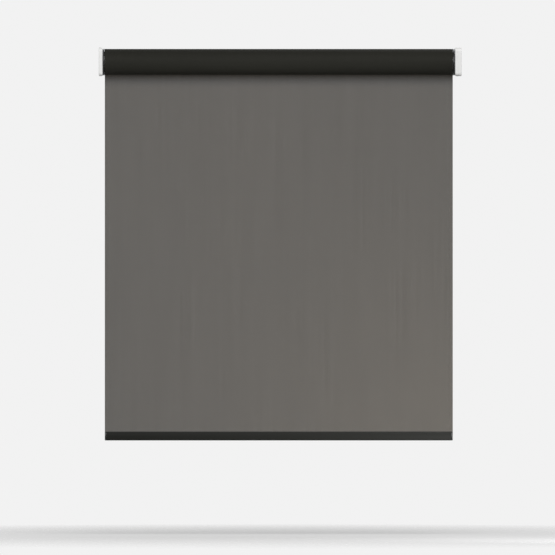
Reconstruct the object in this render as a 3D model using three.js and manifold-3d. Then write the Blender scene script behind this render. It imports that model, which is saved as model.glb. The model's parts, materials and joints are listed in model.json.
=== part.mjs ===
// A motorised roller blind on two wall brackets, with a screen cloth and a slim bottom bar.
// Millimetres, +X to the right, +Y to the wall behind, +Z up. The origin is on the roller's
// axis, midway between the outer faces of the two brackets.
import * as THREE from "three";
import { mergeVertices } from "three/addons/utils/BufferGeometryUtils.js";
import Module from "manifold-3d";

// Overall sizes.
const SPAN = 800; // between the outer faces of the brackets
const DROP = 836; // from the roller's axis to the underside of the bottom bar
const ROLL_RADIUS = 27.5; // outside of the wound cloth

// Clearances.
const GAP = 0.3; // between pieces that rest on or sit in each other
const RUN = 0.1; // radial clearance of a shaft or pin that turns in its hole
const FLUSH = 0.2; // how far a screw's head or a pin's tip sits below the face around it
const FLANGE_GAP = 1; // between a turning flange and the still cover beside it

// Roller tube and cloth.
const TUBE_RADIUS = 22.5;
const TUBE_WALL = 1.2;
const GROOVE_WIDTH = 6; // the formed groove that grips the cloth and drives the tube
const GROOVE_DEPTH = 1.8;
const SPLINE_WIDTH = 5;
const CLOTH = 0.65; // thickness
const CLOTH_MARGIN = 1; // bare tube at each end of the cloth
const FLANGE_RIM = 5; // how far the end flanges stand out past the tube
const END_FLANGE = 2; // thickness

// Brackets and covers.
const PLATE = 2; // sheet steel
const COVER_WALL = 1.5;
const COVER_HEIGHT = 62;
const COVER_FRONT = 31; // from the axis to the front of a cover
const COVER_CORNER = 7;
const WALL_DISTANCE = 36; // from the axis to the back faces of the brackets
const FOOT_MARGIN = 9; // from a fixing screw's centre to the free edge of the bracket's foot
const FIXING_RISE = 18; // a fixing screw's height above or below the axis
const FIXING_SCREW = { headRadius: 4, head: 2.6, shankRadius: 2, shank: 24, point: 5 };
const SIDE_HOLE_Y = 26; // from the axis back to the screw holes in a side plate

// Idle end, on the left.
const SEAT_RADIUS = 9;
const SEAT_SPIGOT_RADIUS = 6;
const SEAT_BOSS = 4.1;
const PIN_RADIUS = 3;
const PIN_TIP = 1; // length of its tapered tip
const PIN_TIP_RADIUS = 2.1;
const PIN_COLLAR_RADIUS = 4.5;
const PIN_COLLAR = 2.5; // width
const PIN_TAIL_RADIUS = 2;
const PIN_TAIL = 14; // length behind the collar
const PIN_TRAVEL = 6.5; // inwards, to free the pin from its seat
const CORE_RADIUS = 7;
const CORE_NECK = 3; // the wall that stops the pin's collar
const CAP_LENGTH = 4;
const PLUG_LENGTH = 44;
const BEARING_RADIUS = 10;
const BEARING_WIDTH = 7;
const SPRING_WIRE = 0.5; // radius
const SPRING_TURNS = 7;

// Motor end, on the right.
const ADAPTER = 3.1; // thickness
const ADAPTER_SIDE = 44;
const ADAPTER_CORNER = 5;
const ADAPTER_SCREW = { headRadius: 2.9, head: 1.4, shankRadius: 1.6, shank: 3.6 };
const ADAPTER_SCREW_OFFSET = 15; // from the axis, forward and up, or back and down
const SPIGOT_SIDE = 14;
const SPIGOT_LENGTH = 4;
const HEAD = 7; // thickness of the head's disc
const HEAD_RIM = 4; // how far the head's disc stands out past the casing
const NECK_LENGTH = 15;
const NECK_WALL = 3.2;
const CROWN_LENGTH = 20;

// Tubular motor.
const CASING_ROOM = 1.5; // between the casing and the inside of the tube's groove
const CASING_WALL = 1.5;
const CASING_SCREW = { headRadius: 1.5, head: 1.2, shankRadius: 1.3, shank: 3 };
const BOARD_LENGTH = 64;
const BOARD_WIDTH = 22;
const BOARD = 1.6; // thickness
const BOARD_PARTS = [
  { from: 12, length: 12, side: [-6, 6], height: 1.4 }, // the processor
  { from: 34, length: 12, side: [-8, 2], height: 6 }, // the motor's relay
  { from: 56, length: 7, side: [-4, 4], height: 4 }, // the socket for the head's leads
];
const CELL_RADIUS = 9.1;
const CELL_LENGTH = 65;
const CELL_COUNT = 3;
const CELL_GAP = 1; // between the end of one cell and the next
const TERMINAL = 1.5; // height of a cell's terminal
const TERMINAL_RADIUS = 3.2;
const BAY_GAP = 4; // between the board, the cells and the motor
const MOTOR_LENGTH = 40;
const MOTOR_CHAMFER = 1;
const MOTOR_TAIL = 3; // length of its narrower rear end
const MOTOR_TAIL_STEP = 2; // how much narrower, in radius
const REDUCER_LENGTH = 22;
const REDUCER_ROOM = 2.7; // round it, inside the casing
const DAMPER = 2.1; // thickness of the rubber ring round the motor
const DAMPER_WIDTH = 8;
const NOSE_PLUG = 7.7;
const NOSE_FLANGE = 2;
const OUTPUT_BEARING_RADIUS = 7.2;
const SHAFT_RADIUS = 4;
const SHAFT_FLAT = 2.8; // from the axis to the flat that drives the wheel
const WHEEL_WIDTH = 14;
const WHEEL_HOLES = 6;
const WHEEL_WEB = 3.75; // left on each side of a hole, towards the shaft and the groove
const DRIVE_SCREW = { headRadius: 5, head: 2.2, shankRadius: 1.9, shank: 9 };

// Output gear stage.
const RING_WALL = 1.8025; // outside the ring gear's teeth, which makes the module 0.65
const ADDENDUM = 0.85; // in modules
const DEDENDUM = 1.15; // in modules
const TOOTH_FILL = 0.8; // a tooth's width at the pitch circle, as a share of half the pitch
const PRESSURE_ANGLE = (20 * Math.PI) / 180;
const SUN_TEETH = 12;
const PLANET_TEETH = 15;
const PLANET_COUNT = 3;
const GEAR_WIDTH = 9;
const GEAR_CASE_WALL = 2.5;
const CARRIER = 3; // thickness
const PLANET_PIN_RADIUS = 1.5;
const GEAR_SHAFT_RADIUS = 1.5;
const GEAR_SHAFT_REACH = 11; // into the first reducer

// Controls on the underside of the motor head.
const CHIN_FRONT = 14;
const CHIN_BACK = 18;
const BUTTON_Y = -8;
const BUTTON_RADIUS = 2.5;
const BUTTON_COLLAR_RADIUS = 3.2;
const BUTTON_COLLAR = 1.2; // width
const BUTTON_LIP = 1.7; // the wall that stops the button's collar
const BUTTON_TRAVEL = 1.2;
const BUTTON_PROUD = 0.7; // below the cover
const BUTTON_TIP = 0.4; // length of its rounded-off tip
const BUTTON_TIP_RADIUS = 2.1;
const BUTTON_SPRING = 3; // length when pressed
const BUTTON_WIRE = 0.2; // radius
const BUTTON_TURNS = 3;
const SWITCH = 1.2; // thickness
const SWITCH_SIDE = 4;
const LENS_Y = 0;
const LENS_RADIUS = 1.2;
const LENS_DEPTH = 5; // into the head
const SOCKET_Y = 9;
const SOCKET_WIDTH = 9;
const SOCKET_THICKNESS = 3.2;
const SOCKET_DEPTH = 7;
const SOCKET_WALL = 0.35;
const FLAP_SIDE = 1.1; // how far the rubber cover reaches past the socket's sides
const FLAP_END = 1.7; // and past its ends
const TONGUE = 4; // how far the rubber cover's tongue reaches into the head

// Bottom bar.
const BAR_HEIGHT = 19.5;
const BAR_THICKNESS = 9;
const BAR_CORNER = 1.6;
const BAR_WALL = 1.5;
const BAR_CAP = 2; // thickness
const CAP_TONGUE = 10; // how far a cap reaches into the bar
const HEM_SLOT = 1.8; // width of the mouth that the cloth passes
const HEM_LIP = 2.2; // depth of that mouth
const HEM_ROOM = 5.4; // side of the square channel below it
const HEM_INSERT = 1.5; // how far the cloth reaches below the mouth

// Roundness: sides round a turned piece, and steps along one drawn arc.
const FINE = 40;
const MEDIUM = 20;
const COARSE = 10; // also the steps along one turn of a coil
const LONG_ARC = 16;
const SHORT_ARC = 4;

// Places along X that the sizes above lead to, from the left end to the right end.
const leftFace = -SPAN / 2;
const leftPlate = leftFace + PLATE;
const leftCover = leftPlate + GAP + SEAT_BOSS + GAP + COVER_WALL;
const idleFlange = leftCover + FLANGE_GAP;
const tubeLeft = idleFlange + END_FLANGE + GAP;
const rightFace = SPAN / 2;
const rightPlate = rightFace - PLATE;
const adapterInner = rightPlate - GAP - ADAPTER;
const headOuter = adapterInner - GAP;
const headInner = headOuter - HEAD;
const rightCover = headInner - GAP - COVER_WALL;
const crownFlange = rightCover - FLANGE_GAP - END_FLANGE;
const tubeRight = crownFlange - GAP;
const clothLeft = tubeLeft + CLOTH_MARGIN;
const clothRight = tubeRight - CLOTH_MARGIN;
const fixingLeft = leftCover + FIXING_SCREW.headRadius + 1;
const fixingRight = rightCover - FIXING_SCREW.headRadius - 1;

// Places inside the motor casing, from the head to the drive wheel.
const casingRight = headInner - GAP;
const neckEnd = headInner - NECK_LENGTH;
const boardRight = neckEnd - BAY_GAP;
const cellsRight = boardRight - BOARD_LENGTH - BAY_GAP;
const cellPitch = CELL_LENGTH + CELL_GAP;
const cellsLeft = cellsRight - CELL_COUNT * cellPitch;
const motorRight = cellsLeft - BAY_GAP;
const motorLeft = motorRight - MOTOR_LENGTH;
const reducerLeft = motorLeft - GAP - REDUCER_LENGTH;
const gearRight = reducerLeft - 2 * GAP;
const gearLeft = gearRight - GEAR_WIDTH;
const carrierLeft = gearLeft - GAP - CARRIER;
const gearCaseLeft = carrierLeft - GAP - GEAR_CASE_WALL;
const casingLeft = gearCaseLeft - GAP - NOSE_PLUG;
const noseLeft = casingLeft - GAP - NOSE_FLANGE;
const wheelRight = noseLeft - 2 * GAP;
const wheelLeft = wheelRight - WHEEL_WIDTH;

// Radii and heights that follow from the sizes above.
const tubeBore = TUBE_RADIUS - TUBE_WALL;
const grooveFloor = TUBE_RADIUS - GROOVE_DEPTH;
const flangeRadius = TUBE_RADIUS + FLANGE_RIM;
const casingRadius = grooveFloor - TUBE_WALL - CASING_ROOM;
const casingBore = casingRadius - CASING_WALL;
const inCasing = casingBore - GAP;
const headRadius = casingRadius + HEAD_RIM;
const neckBore = inCasing - NECK_WALL;
const motorRadius = inCasing - DAMPER - GAP;
const motorTailRadius = motorRadius - MOTOR_TAIL_STEP;
const reducerRadius = inCasing - REDUCER_ROOM;
const wheelSpoke = grooveFloor - TUBE_WALL - SHAFT_RADIUS;
const wheelHoleOrbit = SHAFT_RADIUS + wheelSpoke / 2;
const wheelHoleRadius = wheelSpoke / 2 - WHEEL_WEB;
const pinHole = PIN_RADIUS + GAP;
const pinChamber = PIN_COLLAR_RADIUS + GAP;
const coreLength = CORE_NECK + PIN_COLLAR + PIN_TAIL + PIN_TRAVEL + CAP_LENGTH + 3 * GAP;
const ringTeeth = SUN_TEETH + 2 * PLANET_TEETH;
const gearModule = (inCasing - RING_WALL) / (ringTeeth / 2 + DEDENDUM);
const planetOrbit = (gearModule * (SUN_TEETH + PLANET_TEETH)) / 2;
const acrossShaft = [-SHAFT_RADIUS - 1, SHAFT_RADIUS + 1];
const halfHeight = COVER_HEIGHT / 2;
const barTop = -DROP + BAR_HEIGHT;
const clothFront = ROLL_RADIUS + GAP;
const barY = clothFront + CLOTH / 2;
const chinBottom = -(halfHeight - COVER_WALL - GAP);
const headMiddle = (headInner + headOuter) / 2;
const collarBottom = chinBottom + BUTTON_LIP + GAP;
const collarTop = collarBottom + BUTTON_COLLAR;
const switchBottom = collarTop + BUTTON_TRAVEL + BUTTON_SPRING;
const pocketTop = switchBottom + SWITCH + GAP;

// Colours and finishes.
const finish = (color, roughness, metalness) =>
  new THREE.MeshStandardMaterial({ color, roughness, metalness });
const WHITE_PLASTIC = finish(0xe9e9e6, 0.42, 0);
const BLACK_PLASTIC = finish(0x1b1b1a, 0.5, 0);
const PALE_NYLON = finish(0xd8d4c8, 0.55, 0);
const ZINC_STEEL = finish(0xb4b7ba, 0.35, 1);
const BRIGHT_STEEL = finish(0xc9cbcd, 0.22, 1);
const ALUMINIUM = finish(0xb9bbbd, 0.38, 1);
const DARK_BAR = finish(0x33332f, 0.48, 0.3);
const CHARCOAL_CLOTH = finish(0x3d3c37, 0.9, 0);
const RUBBER = finish(0x222222, 0.85, 0);
const GREEN_BOARD = finish(0x1f5a35, 0.5, 0);
const CELL_SLEEVE = finish(0x2f6fa8, 0.4, 0);
const BRONZE = finish(0xa9824a, 0.4, 1);
const CLEAR_LENS = finish(0xf2f4ee, 0.15, 0);

const wasm = await Module();
wasm.setup();

/** A closed geometry as a solid that can be joined and cut. */
function solid(geometry) {
  const bare = geometry.index ? geometry.toNonIndexed() : geometry.clone();
  bare.deleteAttribute("normal");
  bare.deleteAttribute("uv");
  const merged = mergeVertices(bare, 1e-4);
  const corners = merged.index.array;
  const kept = [];
  for (let i = 0; i < corners.length; i += 3) {
    const [a, b, c] = corners.slice(i, i + 3);
    if (a !== b && b !== c && c !== a) kept.push(a, b, c);
  }
  return new wasm.Manifold(
    new wasm.Mesh({
      numProp: 3,
      vertProperties: merged.attributes.position.array,
      triVerts: new Uint32Array(kept),
    }),
  );
}

const join = (first, ...rest) => rest.reduce((all, piece) => all.add(piece), first);
const cut = (first, ...rest) => rest.reduce((all, piece) => all.subtract(piece), first);

/** Turns a geometry made along X to lie along another axis, then moves it. */
function placed(geometry, axis, at) {
  if (axis === "y") geometry.rotateZ(Math.PI / 2);
  if (axis === "z") geometry.rotateY(-Math.PI / 2);
  return geometry.translate(...at);
}

/** A turned piece: [place along the axis, radius] pairs run along its outside, end to end. */
function turned(outside, segments, axis = "x", at = [0, 0, 0]) {
  const ends = [outside[0][0], outside[outside.length - 1][0]];
  const profile = [
    new THREE.Vector2(0, ends[0]),
    ...outside.map(([along, radius]) => new THREE.Vector2(radius, along)),
    new THREE.Vector2(0, ends[1]),
  ];
  const lathe = new THREE.LatheGeometry(profile, segments).rotateZ(-Math.PI / 2);
  return solid(placed(lathe, axis, at));
}

/** A plain round bar from one place along its axis to another. */
function rod(radius, start, end, segments, axis = "x", at = [0, 0, 0]) {
  return turned(
    [
      [start, radius],
      [end, radius],
    ],
    segments,
    axis,
    at,
  );
}

/** A plain ring with a round bore. */
function ring(bore, radius, start, end, segments) {
  const outline = [
    [radius, start],
    [radius, end],
    [bore, end],
    [bore, start],
    [radius, start],
  ].map(([r, along]) => new THREE.Vector2(r, along));
  return solid(new THREE.LatheGeometry(outline, segments).rotateZ(-Math.PI / 2));
}

/** A box between two limits on each axis. */
function block([x0, x1], [y0, y1], [z0, z1]) {
  const box = new THREE.BoxGeometry(x1 - x0, y1 - y0, z1 - z0);
  return solid(box.translate((x0 + x1) / 2, (y0 + y1) / 2, (z0 + z1) / 2));
}

/** A section drawn in Y and Z, carried along X from one place to another. */
function prism(shape, start, end, curveSegments = LONG_ARC) {
  const depth = end - start;
  const extruded = new THREE.ExtrudeGeometry(shape, { depth, bevelEnabled: false, curveSegments });
  const toX = new THREE.Matrix4().makeBasis(
    new THREE.Vector3(0, 1, 0),
    new THREE.Vector3(0, 0, 1),
    new THREE.Vector3(1, 0, 0),
  );
  return solid(extruded.applyMatrix4(toX).translate(start, 0, 0));
}

/** A rectangle with round corners, as a section in Y and Z. */
function roundedSection([y0, y1], [z0, z1], corner) {
  const shape = new THREE.Shape();
  const quarter = Math.PI / 2;
  shape.absarc(y1 - corner, z1 - corner, corner, 0, quarter);
  shape.absarc(y0 + corner, z1 - corner, corner, quarter, 2 * quarter);
  shape.absarc(y0 + corner, z0 + corner, corner, 2 * quarter, 3 * quarter);
  shape.absarc(y1 - corner, z0 + corner, corner, 3 * quarter, 4 * quarter);
  shape.closePath();
  return shape;
}

/** A circle with one flat-floored notch at its top, the section of the tube and what fits it. */
function notchedCircle(radius, halfWidth, floor) {
  const shape = new THREE.Shape();
  const edge = Math.acos(halfWidth / radius);
  shape.moveTo(-halfWidth, floor);
  shape.lineTo(halfWidth, floor);
  shape.absarc(0, 0, radius, edge, Math.PI - edge, true);
  shape.closePath();
  return shape;
}

/** The section that slides into the tube and takes its groove. */
function tubeFit() {
  const halfWidth = GROOVE_WIDTH / 2 + TUBE_WALL + GAP;
  return notchedCircle(tubeBore - GAP, halfWidth, grooveFloor - TUBE_WALL - GAP);
}

/** A coil of round wire along X. */
class Coil extends THREE.Curve {
  constructor(radius, length, turns) {
    super();
    Object.assign(this, { radius, length, turns });
  }

  getPoint(t) {
    const angle = 2 * Math.PI * this.turns * t;
    const y = this.radius * Math.cos(angle);
    const z = this.radius * Math.sin(angle);
    return new THREE.Vector3(this.length * t, y, z);
  }
}

/** A coil spring between two places on an axis parallel to X or Z. */
function spring(radius, wire, start, end, turns, axis = "x", at = [0, 0, 0]) {
  const section = new THREE.Shape();
  section.absarc(0, 0, wire, 0, 2 * Math.PI);
  const path = new Coil(radius, end - start - 2 * wire, turns);
  const steps = Math.round(turns * COARSE);
  const wound = new THREE.ExtrudeGeometry(section, { extrudePath: path, steps, curveSegments: 3 });
  return solid(placed(wound.translate(start + wire, 0, 0), axis, at));
}

/** A screw along an axis: its head first, then its shank and its point. */
function screw({ headRadius, head, shankRadius, shank, point = 0 }, axis, at, way = 1) {
  const crown = headRadius * 0.8;
  const shoulder = head * 0.45;
  const tip = point ? shankRadius * 0.2 : shankRadius;
  const profile = [
    [0, crown],
    [shoulder, headRadius],
    [head, headRadius],
    [head, shankRadius],
    [head + shank - point, shankRadius],
    [head + shank, tip],
  ];
  const outside = way > 0 ? profile : profile.map(([along, r]) => [-along, r]).reverse();
  const body = turned(outside, COARSE, axis, at);
  const reach = headRadius * 0.55;
  const deep = head * 0.6;
  const arm = headRadius * 0.14;
  const slot = (wide, tall) => {
    const box = new THREE.BoxGeometry(2 * deep, 2 * wide, 2 * tall);
    return solid(placed(box, axis, at));
  };
  return cut(body, slot(reach, arm), slot(arm, reach));
}

/** The outline of a gear, or of the hole in a ring gear, with straight-sided teeth. */
function gearOutline(teeth, outer, inner, fill) {
  const pitch = (gearModule * teeth) / 2;
  const halfTooth = (fill * Math.PI * gearModule) / 4;
  const slope = Math.tan(PRESSURE_ANGLE);
  const halfAngle = (radius) => (halfTooth - (radius - pitch) * slope) / radius;
  const points = [];
  for (let tooth = 0; tooth < teeth; tooth += 1) {
    const middle = (2 * Math.PI * tooth) / teeth;
    const corners = [
      [inner, -halfAngle(inner)],
      [outer, -halfAngle(outer)],
      [outer, halfAngle(outer)],
      [inner, halfAngle(inner)],
    ];
    for (const [radius, angle] of corners) {
      const at = middle + angle;
      points.push(new THREE.Vector2(radius * Math.cos(at), radius * Math.sin(at)));
    }
  }
  return new THREE.Shape(points);
}

/** A gear's own outline: its teeth are a little thinner than its gaps. */
function gearSection(teeth) {
  const pitch = (gearModule * teeth) / 2;
  return gearOutline(teeth, pitch + ADDENDUM * gearModule, pitch - DEDENDUM * gearModule, TOOTH_FILL);
}

const blind = new THREE.Group();

/** Adds a finished solid to the blind as a named piece. */
function add(name, shape, material, parent = blind) {
  const made = shape.getMesh();
  const geometry = new THREE.BufferGeometry();
  geometry.setAttribute("position", new THREE.BufferAttribute(made.vertProperties, 3));
  geometry.setIndex(new THREE.BufferAttribute(made.triVerts, 1));
  const flat = geometry.toNonIndexed();
  flat.computeVertexNormals();
  const mesh = new THREE.Mesh(flat, material);
  mesh.name = name;
  parent.add(mesh);
}

/** Both limits in rising order, for spans worked out from either end of the blind. */
const between = (a, b) => [Math.min(a, b), Math.max(a, b)];

/** A bracket: an upright side plate and a foot against the wall. side is -1 left, 1 right. */
function bracket(side, screwX, centreHole) {
  const face = (side * SPAN) / 2;
  const plateX = between(face, face - side * PLATE);
  const top = halfHeight - COVER_WALL - GAP;
  const front = -(COVER_FRONT - COVER_WALL - GAP);
  const corner = COVER_CORNER - COVER_WALL;
  const plate = prism(
    roundedSection([front, WALL_DISTANCE], [-top, top], corner),
    ...plateX,
    SHORT_ARC,
  );
  const footX = between(face, screwX - side * FOOT_MARGIN);
  const foot = block(footX, [WALL_DISTANCE - PLATE, WALL_DISTANCE], [-top, top]);
  const hole = FIXING_SCREW.shankRadius + GAP;
  const holes = [-FIXING_RISE, FIXING_RISE].flatMap((z) => [
    rod(hole, 0, 2 * WALL_DISTANCE, COARSE, "y", [screwX, 0, z]),
    rod(hole, plateX[0] - 1, plateX[1] + 1, COARSE, "x", [0, SIDE_HOLE_Y, z]),
  ]);
  return cut(join(plate, foot), ...holes, centreHole);
}

/** A clip-on cover: a dish over the bracket's plate, open to the wall. */
function cover(side, innerFace, ...openings) {
  const rim = (side * SPAN) / 2 - side * GAP;
  const outerBack = WALL_DISTANCE - PLATE - GAP;
  const shell = prism(
    roundedSection([-COVER_FRONT, outerBack], [-halfHeight, halfHeight], COVER_CORNER),
    ...between(rim, innerFace),
    SHORT_ARC,
  );
  const inside = halfHeight - COVER_WALL;
  const hollow = prism(
    roundedSection(
      [-COVER_FRONT + COVER_WALL, WALL_DISTANCE + COVER_CORNER],
      [-inside, inside],
      COVER_CORNER - COVER_WALL,
    ),
    ...between(innerFace + side * COVER_WALL, rim + side),
    SHORT_ARC,
  );
  return cut(shell, hollow, ...openings);
}

function addLeftBracket() {
  const hole = rod(SEAT_SPIGOT_RADIUS + GAP, leftFace - 1, leftPlate + 1, MEDIUM);
  add("bracket_left", bracket(-1, fixingLeft, hole), ZINC_STEEL);
  const pinOpening = rod(pinHole + 1, leftPlate, leftCover + 1, MEDIUM);
  add("cover_left", cover(-1, leftCover, pinOpening), WHITE_PLASTIC);
  const seat = turned(
    [
      [leftFace, SEAT_SPIGOT_RADIUS],
      [leftPlate + GAP, SEAT_SPIGOT_RADIUS],
      [leftPlate + GAP, SEAT_RADIUS],
      [leftPlate + GAP + SEAT_BOSS, SEAT_RADIUS],
    ],
    MEDIUM,
  );
  const bore = rod(pinHole, leftFace - 1, leftCover, MEDIUM);
  add("pin_seat", cut(seat, bore), PALE_NYLON);
}

function addRightBracket() {
  const spigotRoom = SPIGOT_SIDE * Math.SQRT1_2 + 2 * GAP;
  const hole = rod(spigotRoom, rightPlate - 1, rightFace + 1, MEDIUM);
  const screwRoom = ADAPTER_SCREW.shankRadius + GAP;
  const screwHoles = adapterScrewPlaces().map(([y, z]) =>
    rod(screwRoom, rightPlate - 1, rightFace + 1, COARSE, "x", [0, y, z]),
  );
  add("bracket_right", cut(bracket(1, fixingRight, hole), ...screwHoles), ZINC_STEEL);
  const flapEnd = SOCKET_WIDTH / 2 + FLAP_END + GAP;
  const flapSide = SOCKET_THICKNESS / 2 + FLAP_SIDE + GAP;
  const flapX = [headMiddle - flapSide, headMiddle + flapSide];
  const flapY = [SOCKET_Y - flapEnd, SOCKET_Y + flapEnd];
  const below = [-halfHeight - 1, chinBottom - GAP / 2];
  const openings = [
    rod(casingRadius + 2 * GAP, rightCover - 1, headInner, FINE),
    block(flapX, flapY, below),
    rod(BUTTON_RADIUS + GAP, ...below, MEDIUM, "z", [headMiddle, BUTTON_Y, 0]),
    rod(LENS_RADIUS + GAP, ...below, COARSE, "z", [headMiddle, LENS_Y, 0]),
  ];
  add("cover_right", cover(1, rightCover, ...openings), WHITE_PLASTIC);
}

function addFixingScrews() {
  const headY = WALL_DISTANCE - PLATE - GAP - FIXING_SCREW.head;
  for (const [sideName, x] of [["left", fixingLeft], ["right", fixingRight]]) {
    for (const [levelName, level] of [["upper", 1], ["lower", -1]]) {
      const made = screw(FIXING_SCREW, "y", [x, headY, level * FIXING_RISE]);
      add(`fixing_screw_${sideName}_${levelName}`, made, BRIGHT_STEEL);
    }
  }
}

/** Where the two adapter screws stand, as [y, z], on a diagonal of the adapter. */
function adapterScrewPlaces() {
  return [
    [-ADAPTER_SCREW_OFFSET, ADAPTER_SCREW_OFFSET],
    [ADAPTER_SCREW_OFFSET, -ADAPTER_SCREW_OFFSET],
  ];
}

function addAdapter() {
  const half = ADAPTER_SIDE / 2;
  const socket = SPIGOT_SIDE / 2 + GAP;
  const plateEnd = rightPlate - GAP;
  const headFloor = adapterInner + FLUSH + ADAPTER_SCREW.head + GAP;
  const outline = roundedSection([-half, half], [-half, half], ADAPTER_CORNER);
  const plate = prism(outline, adapterInner, plateEnd, SHORT_ARC);
  const cuts = [block([adapterInner - 1, plateEnd + 1], [-socket, socket], [-socket, socket])];
  const shankRoom = ADAPTER_SCREW.shankRadius + GAP;
  const headRoom = ADAPTER_SCREW.headRadius + GAP;
  for (const [y, z] of adapterScrewPlaces()) {
    cuts.push(rod(shankRoom, adapterInner - 1, plateEnd + 1, COARSE, "x", [0, y, z]));
    cuts.push(rod(headRoom, adapterInner - 1, headFloor, COARSE, "x", [0, y, z]));
  }
  add("motor_adapter", cut(plate, ...cuts), BLACK_PLASTIC);
  adapterScrewPlaces().forEach(([y, z], i) => {
    const made = screw(ADAPTER_SCREW, "x", [adapterInner + FLUSH, y, z]);
    add(`adapter_screw_${["front", "rear"][i]}`, made, BRIGHT_STEEL);
  });
}

function addRoller() {
  const halfGroove = GROOVE_WIDTH / 2;
  const outside = notchedCircle(TUBE_RADIUS, halfGroove, grooveFloor);
  const inside = notchedCircle(tubeBore, halfGroove + TUBE_WALL, grooveFloor - TUBE_WALL);
  const bore = prism(inside, tubeLeft - 1, tubeRight + 1);
  add("roller_tube", cut(prism(outside, tubeLeft, tubeRight), bore), ALUMINIUM);
  const wound = ring(TUBE_RADIUS + GAP, ROLL_RADIUS, clothLeft, clothRight, FINE);
  add("fabric_roll", wound, CHARCOAL_CLOTH);
  const half = SPLINE_WIDTH / 2;
  const splineZ = [grooveFloor + GAP, TUBE_RADIUS - GAP];
  add("fabric_spline", block([clothLeft, clothRight], [-half, half], splineZ), PALE_NYLON);
}

function addIdleEnd() {
  const coreLeft = idleFlange + GAP;
  const coreRight = coreLeft + coreLength;
  const bearingLeft = idleFlange + END_FLANGE + 1;
  const bearingRight = bearingLeft + BEARING_WIDTH;
  const body = prism(tubeFit(), idleFlange + 1, idleFlange + PLUG_LENGTH);
  const flange = rod(flangeRadius, idleFlange, idleFlange + END_FLANGE, FINE);
  const pocket = rod(BEARING_RADIUS + GAP, idleFlange - 1, bearingRight + GAP, MEDIUM);
  const bore = rod(CORE_RADIUS + GAP, idleFlange, idleFlange + PLUG_LENGTH + 1, MEDIUM);
  add("idle_plug", cut(join(body, flange), pocket, bore), BLACK_PLASTIC);
  const bearing = ring(CORE_RADIUS + RUN, BEARING_RADIUS, bearingLeft, bearingRight, MEDIUM);
  add("idle_bearing", bearing, BRONZE);

  const core = cut(
    rod(CORE_RADIUS, coreLeft, coreRight, MEDIUM),
    rod(pinHole, coreLeft - 1, coreRight + 1, MEDIUM),
    rod(pinChamber, coreLeft + CORE_NECK, coreRight + 1, MEDIUM),
  );
  add("idle_core", core, PALE_NYLON);
  const capLeft = coreRight - CAP_LENGTH;
  add("spring_cap", rod(PIN_COLLAR_RADIUS, capLeft, coreRight, MEDIUM), PALE_NYLON);

  const collarLeft = coreLeft + CORE_NECK + GAP;
  const collarRight = collarLeft + PIN_COLLAR;
  const pin = turned(
    [
      [leftFace + FLUSH, PIN_TIP_RADIUS],
      [leftFace + FLUSH + PIN_TIP, PIN_RADIUS],
      [collarLeft, PIN_RADIUS],
      [collarLeft, PIN_COLLAR_RADIUS],
      [collarRight, PIN_COLLAR_RADIUS],
      [collarRight, PIN_TAIL_RADIUS],
      [collarRight + PIN_TAIL, PIN_TAIL_RADIUS],
    ],
    MEDIUM,
  );
  add("idle_pin", pin, BRIGHT_STEEL);
  const coil = (PIN_TAIL_RADIUS + pinChamber) / 2;
  const wound = spring(coil, SPRING_WIRE, collarRight + GAP, capLeft - GAP, SPRING_TURNS);
  add("idle_spring", wound, BRIGHT_STEEL);
}

function addCrown() {
  const sleeve = prism(tubeFit(), crownFlange - CROWN_LENGTH, crownFlange + 1);
  const flange = rod(flangeRadius, crownFlange, crownFlange + END_FLANGE, FINE);
  const bore = rod(casingRadius + RUN, crownFlange - CROWN_LENGTH - 1, rightCover, FINE);
  add("crown_ring", cut(join(sleeve, flange), bore), BLACK_PLASTIC);
}

function addMotorHead() {
  const half = SPIGOT_SIDE / 2;
  const disc = rod(headRadius, headInner, headOuter, FINE);
  const chin = block([headInner, headOuter], [-CHIN_FRONT, CHIN_BACK], [chinBottom, 0]);
  const neck = rod(inCasing, neckEnd, headInner + 1, FINE);
  const spigotEnd = headOuter + SPIGOT_LENGTH;
  const spigot = block([headOuter - 1, spigotEnd], [-half, half], [-half, half]);
  const at = (y) => [headMiddle, y, 0];
  const socketRoom = SOCKET_THICKNESS / 2 + GAP;
  const socketSide = SOCKET_WIDTH / 2 + GAP;
  const cuts = [
    rod(neckBore, neckEnd - 1, headInner, FINE),
    rod(BUTTON_RADIUS + GAP, chinBottom - 1, collarTop, MEDIUM, "z", at(BUTTON_Y)),
    rod(BUTTON_COLLAR_RADIUS + GAP, collarBottom - GAP, pocketTop, MEDIUM, "z", at(BUTTON_Y)),
    rod(LENS_RADIUS + GAP, chinBottom - 1, chinBottom + LENS_DEPTH + 1, COARSE, "z", at(LENS_Y)),
    block(
      [headMiddle - socketRoom, headMiddle + socketRoom],
      [SOCKET_Y - socketSide, SOCKET_Y + socketSide],
      [chinBottom - 1, chinBottom + SOCKET_DEPTH + 2 * GAP],
    ),
    casingScrewHoles(),
  ];
  add("motor_head", cut(join(disc, chin, neck, spigot), ...cuts), BLACK_PLASTIC);
}

/** The front and rear screw holes, bored in one pass through the casing and the head's neck. */
function casingScrewHoles() {
  const x = (neckEnd + headInner) / 2;
  const reach = casingRadius + 1;
  return rod(CASING_SCREW.headRadius + GAP, -reach, reach, COARSE, "y", [x, 0, 0]);
}

function addCasing() {
  const tube = ring(casingBore, casingRadius, casingLeft, casingRight, FINE);
  add("motor_casing", cut(tube, casingScrewHoles()), ALUMINIUM);
  const x = (neckEnd + headInner) / 2;
  for (const [name, way] of [["front", 1], ["rear", -1]]) {
    const start = -way * (casingRadius - FLUSH);
    add(`casing_screw_${name}`, screw(CASING_SCREW, "y", [x, start, 0], way), BRIGHT_STEEL);
  }
}

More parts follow.
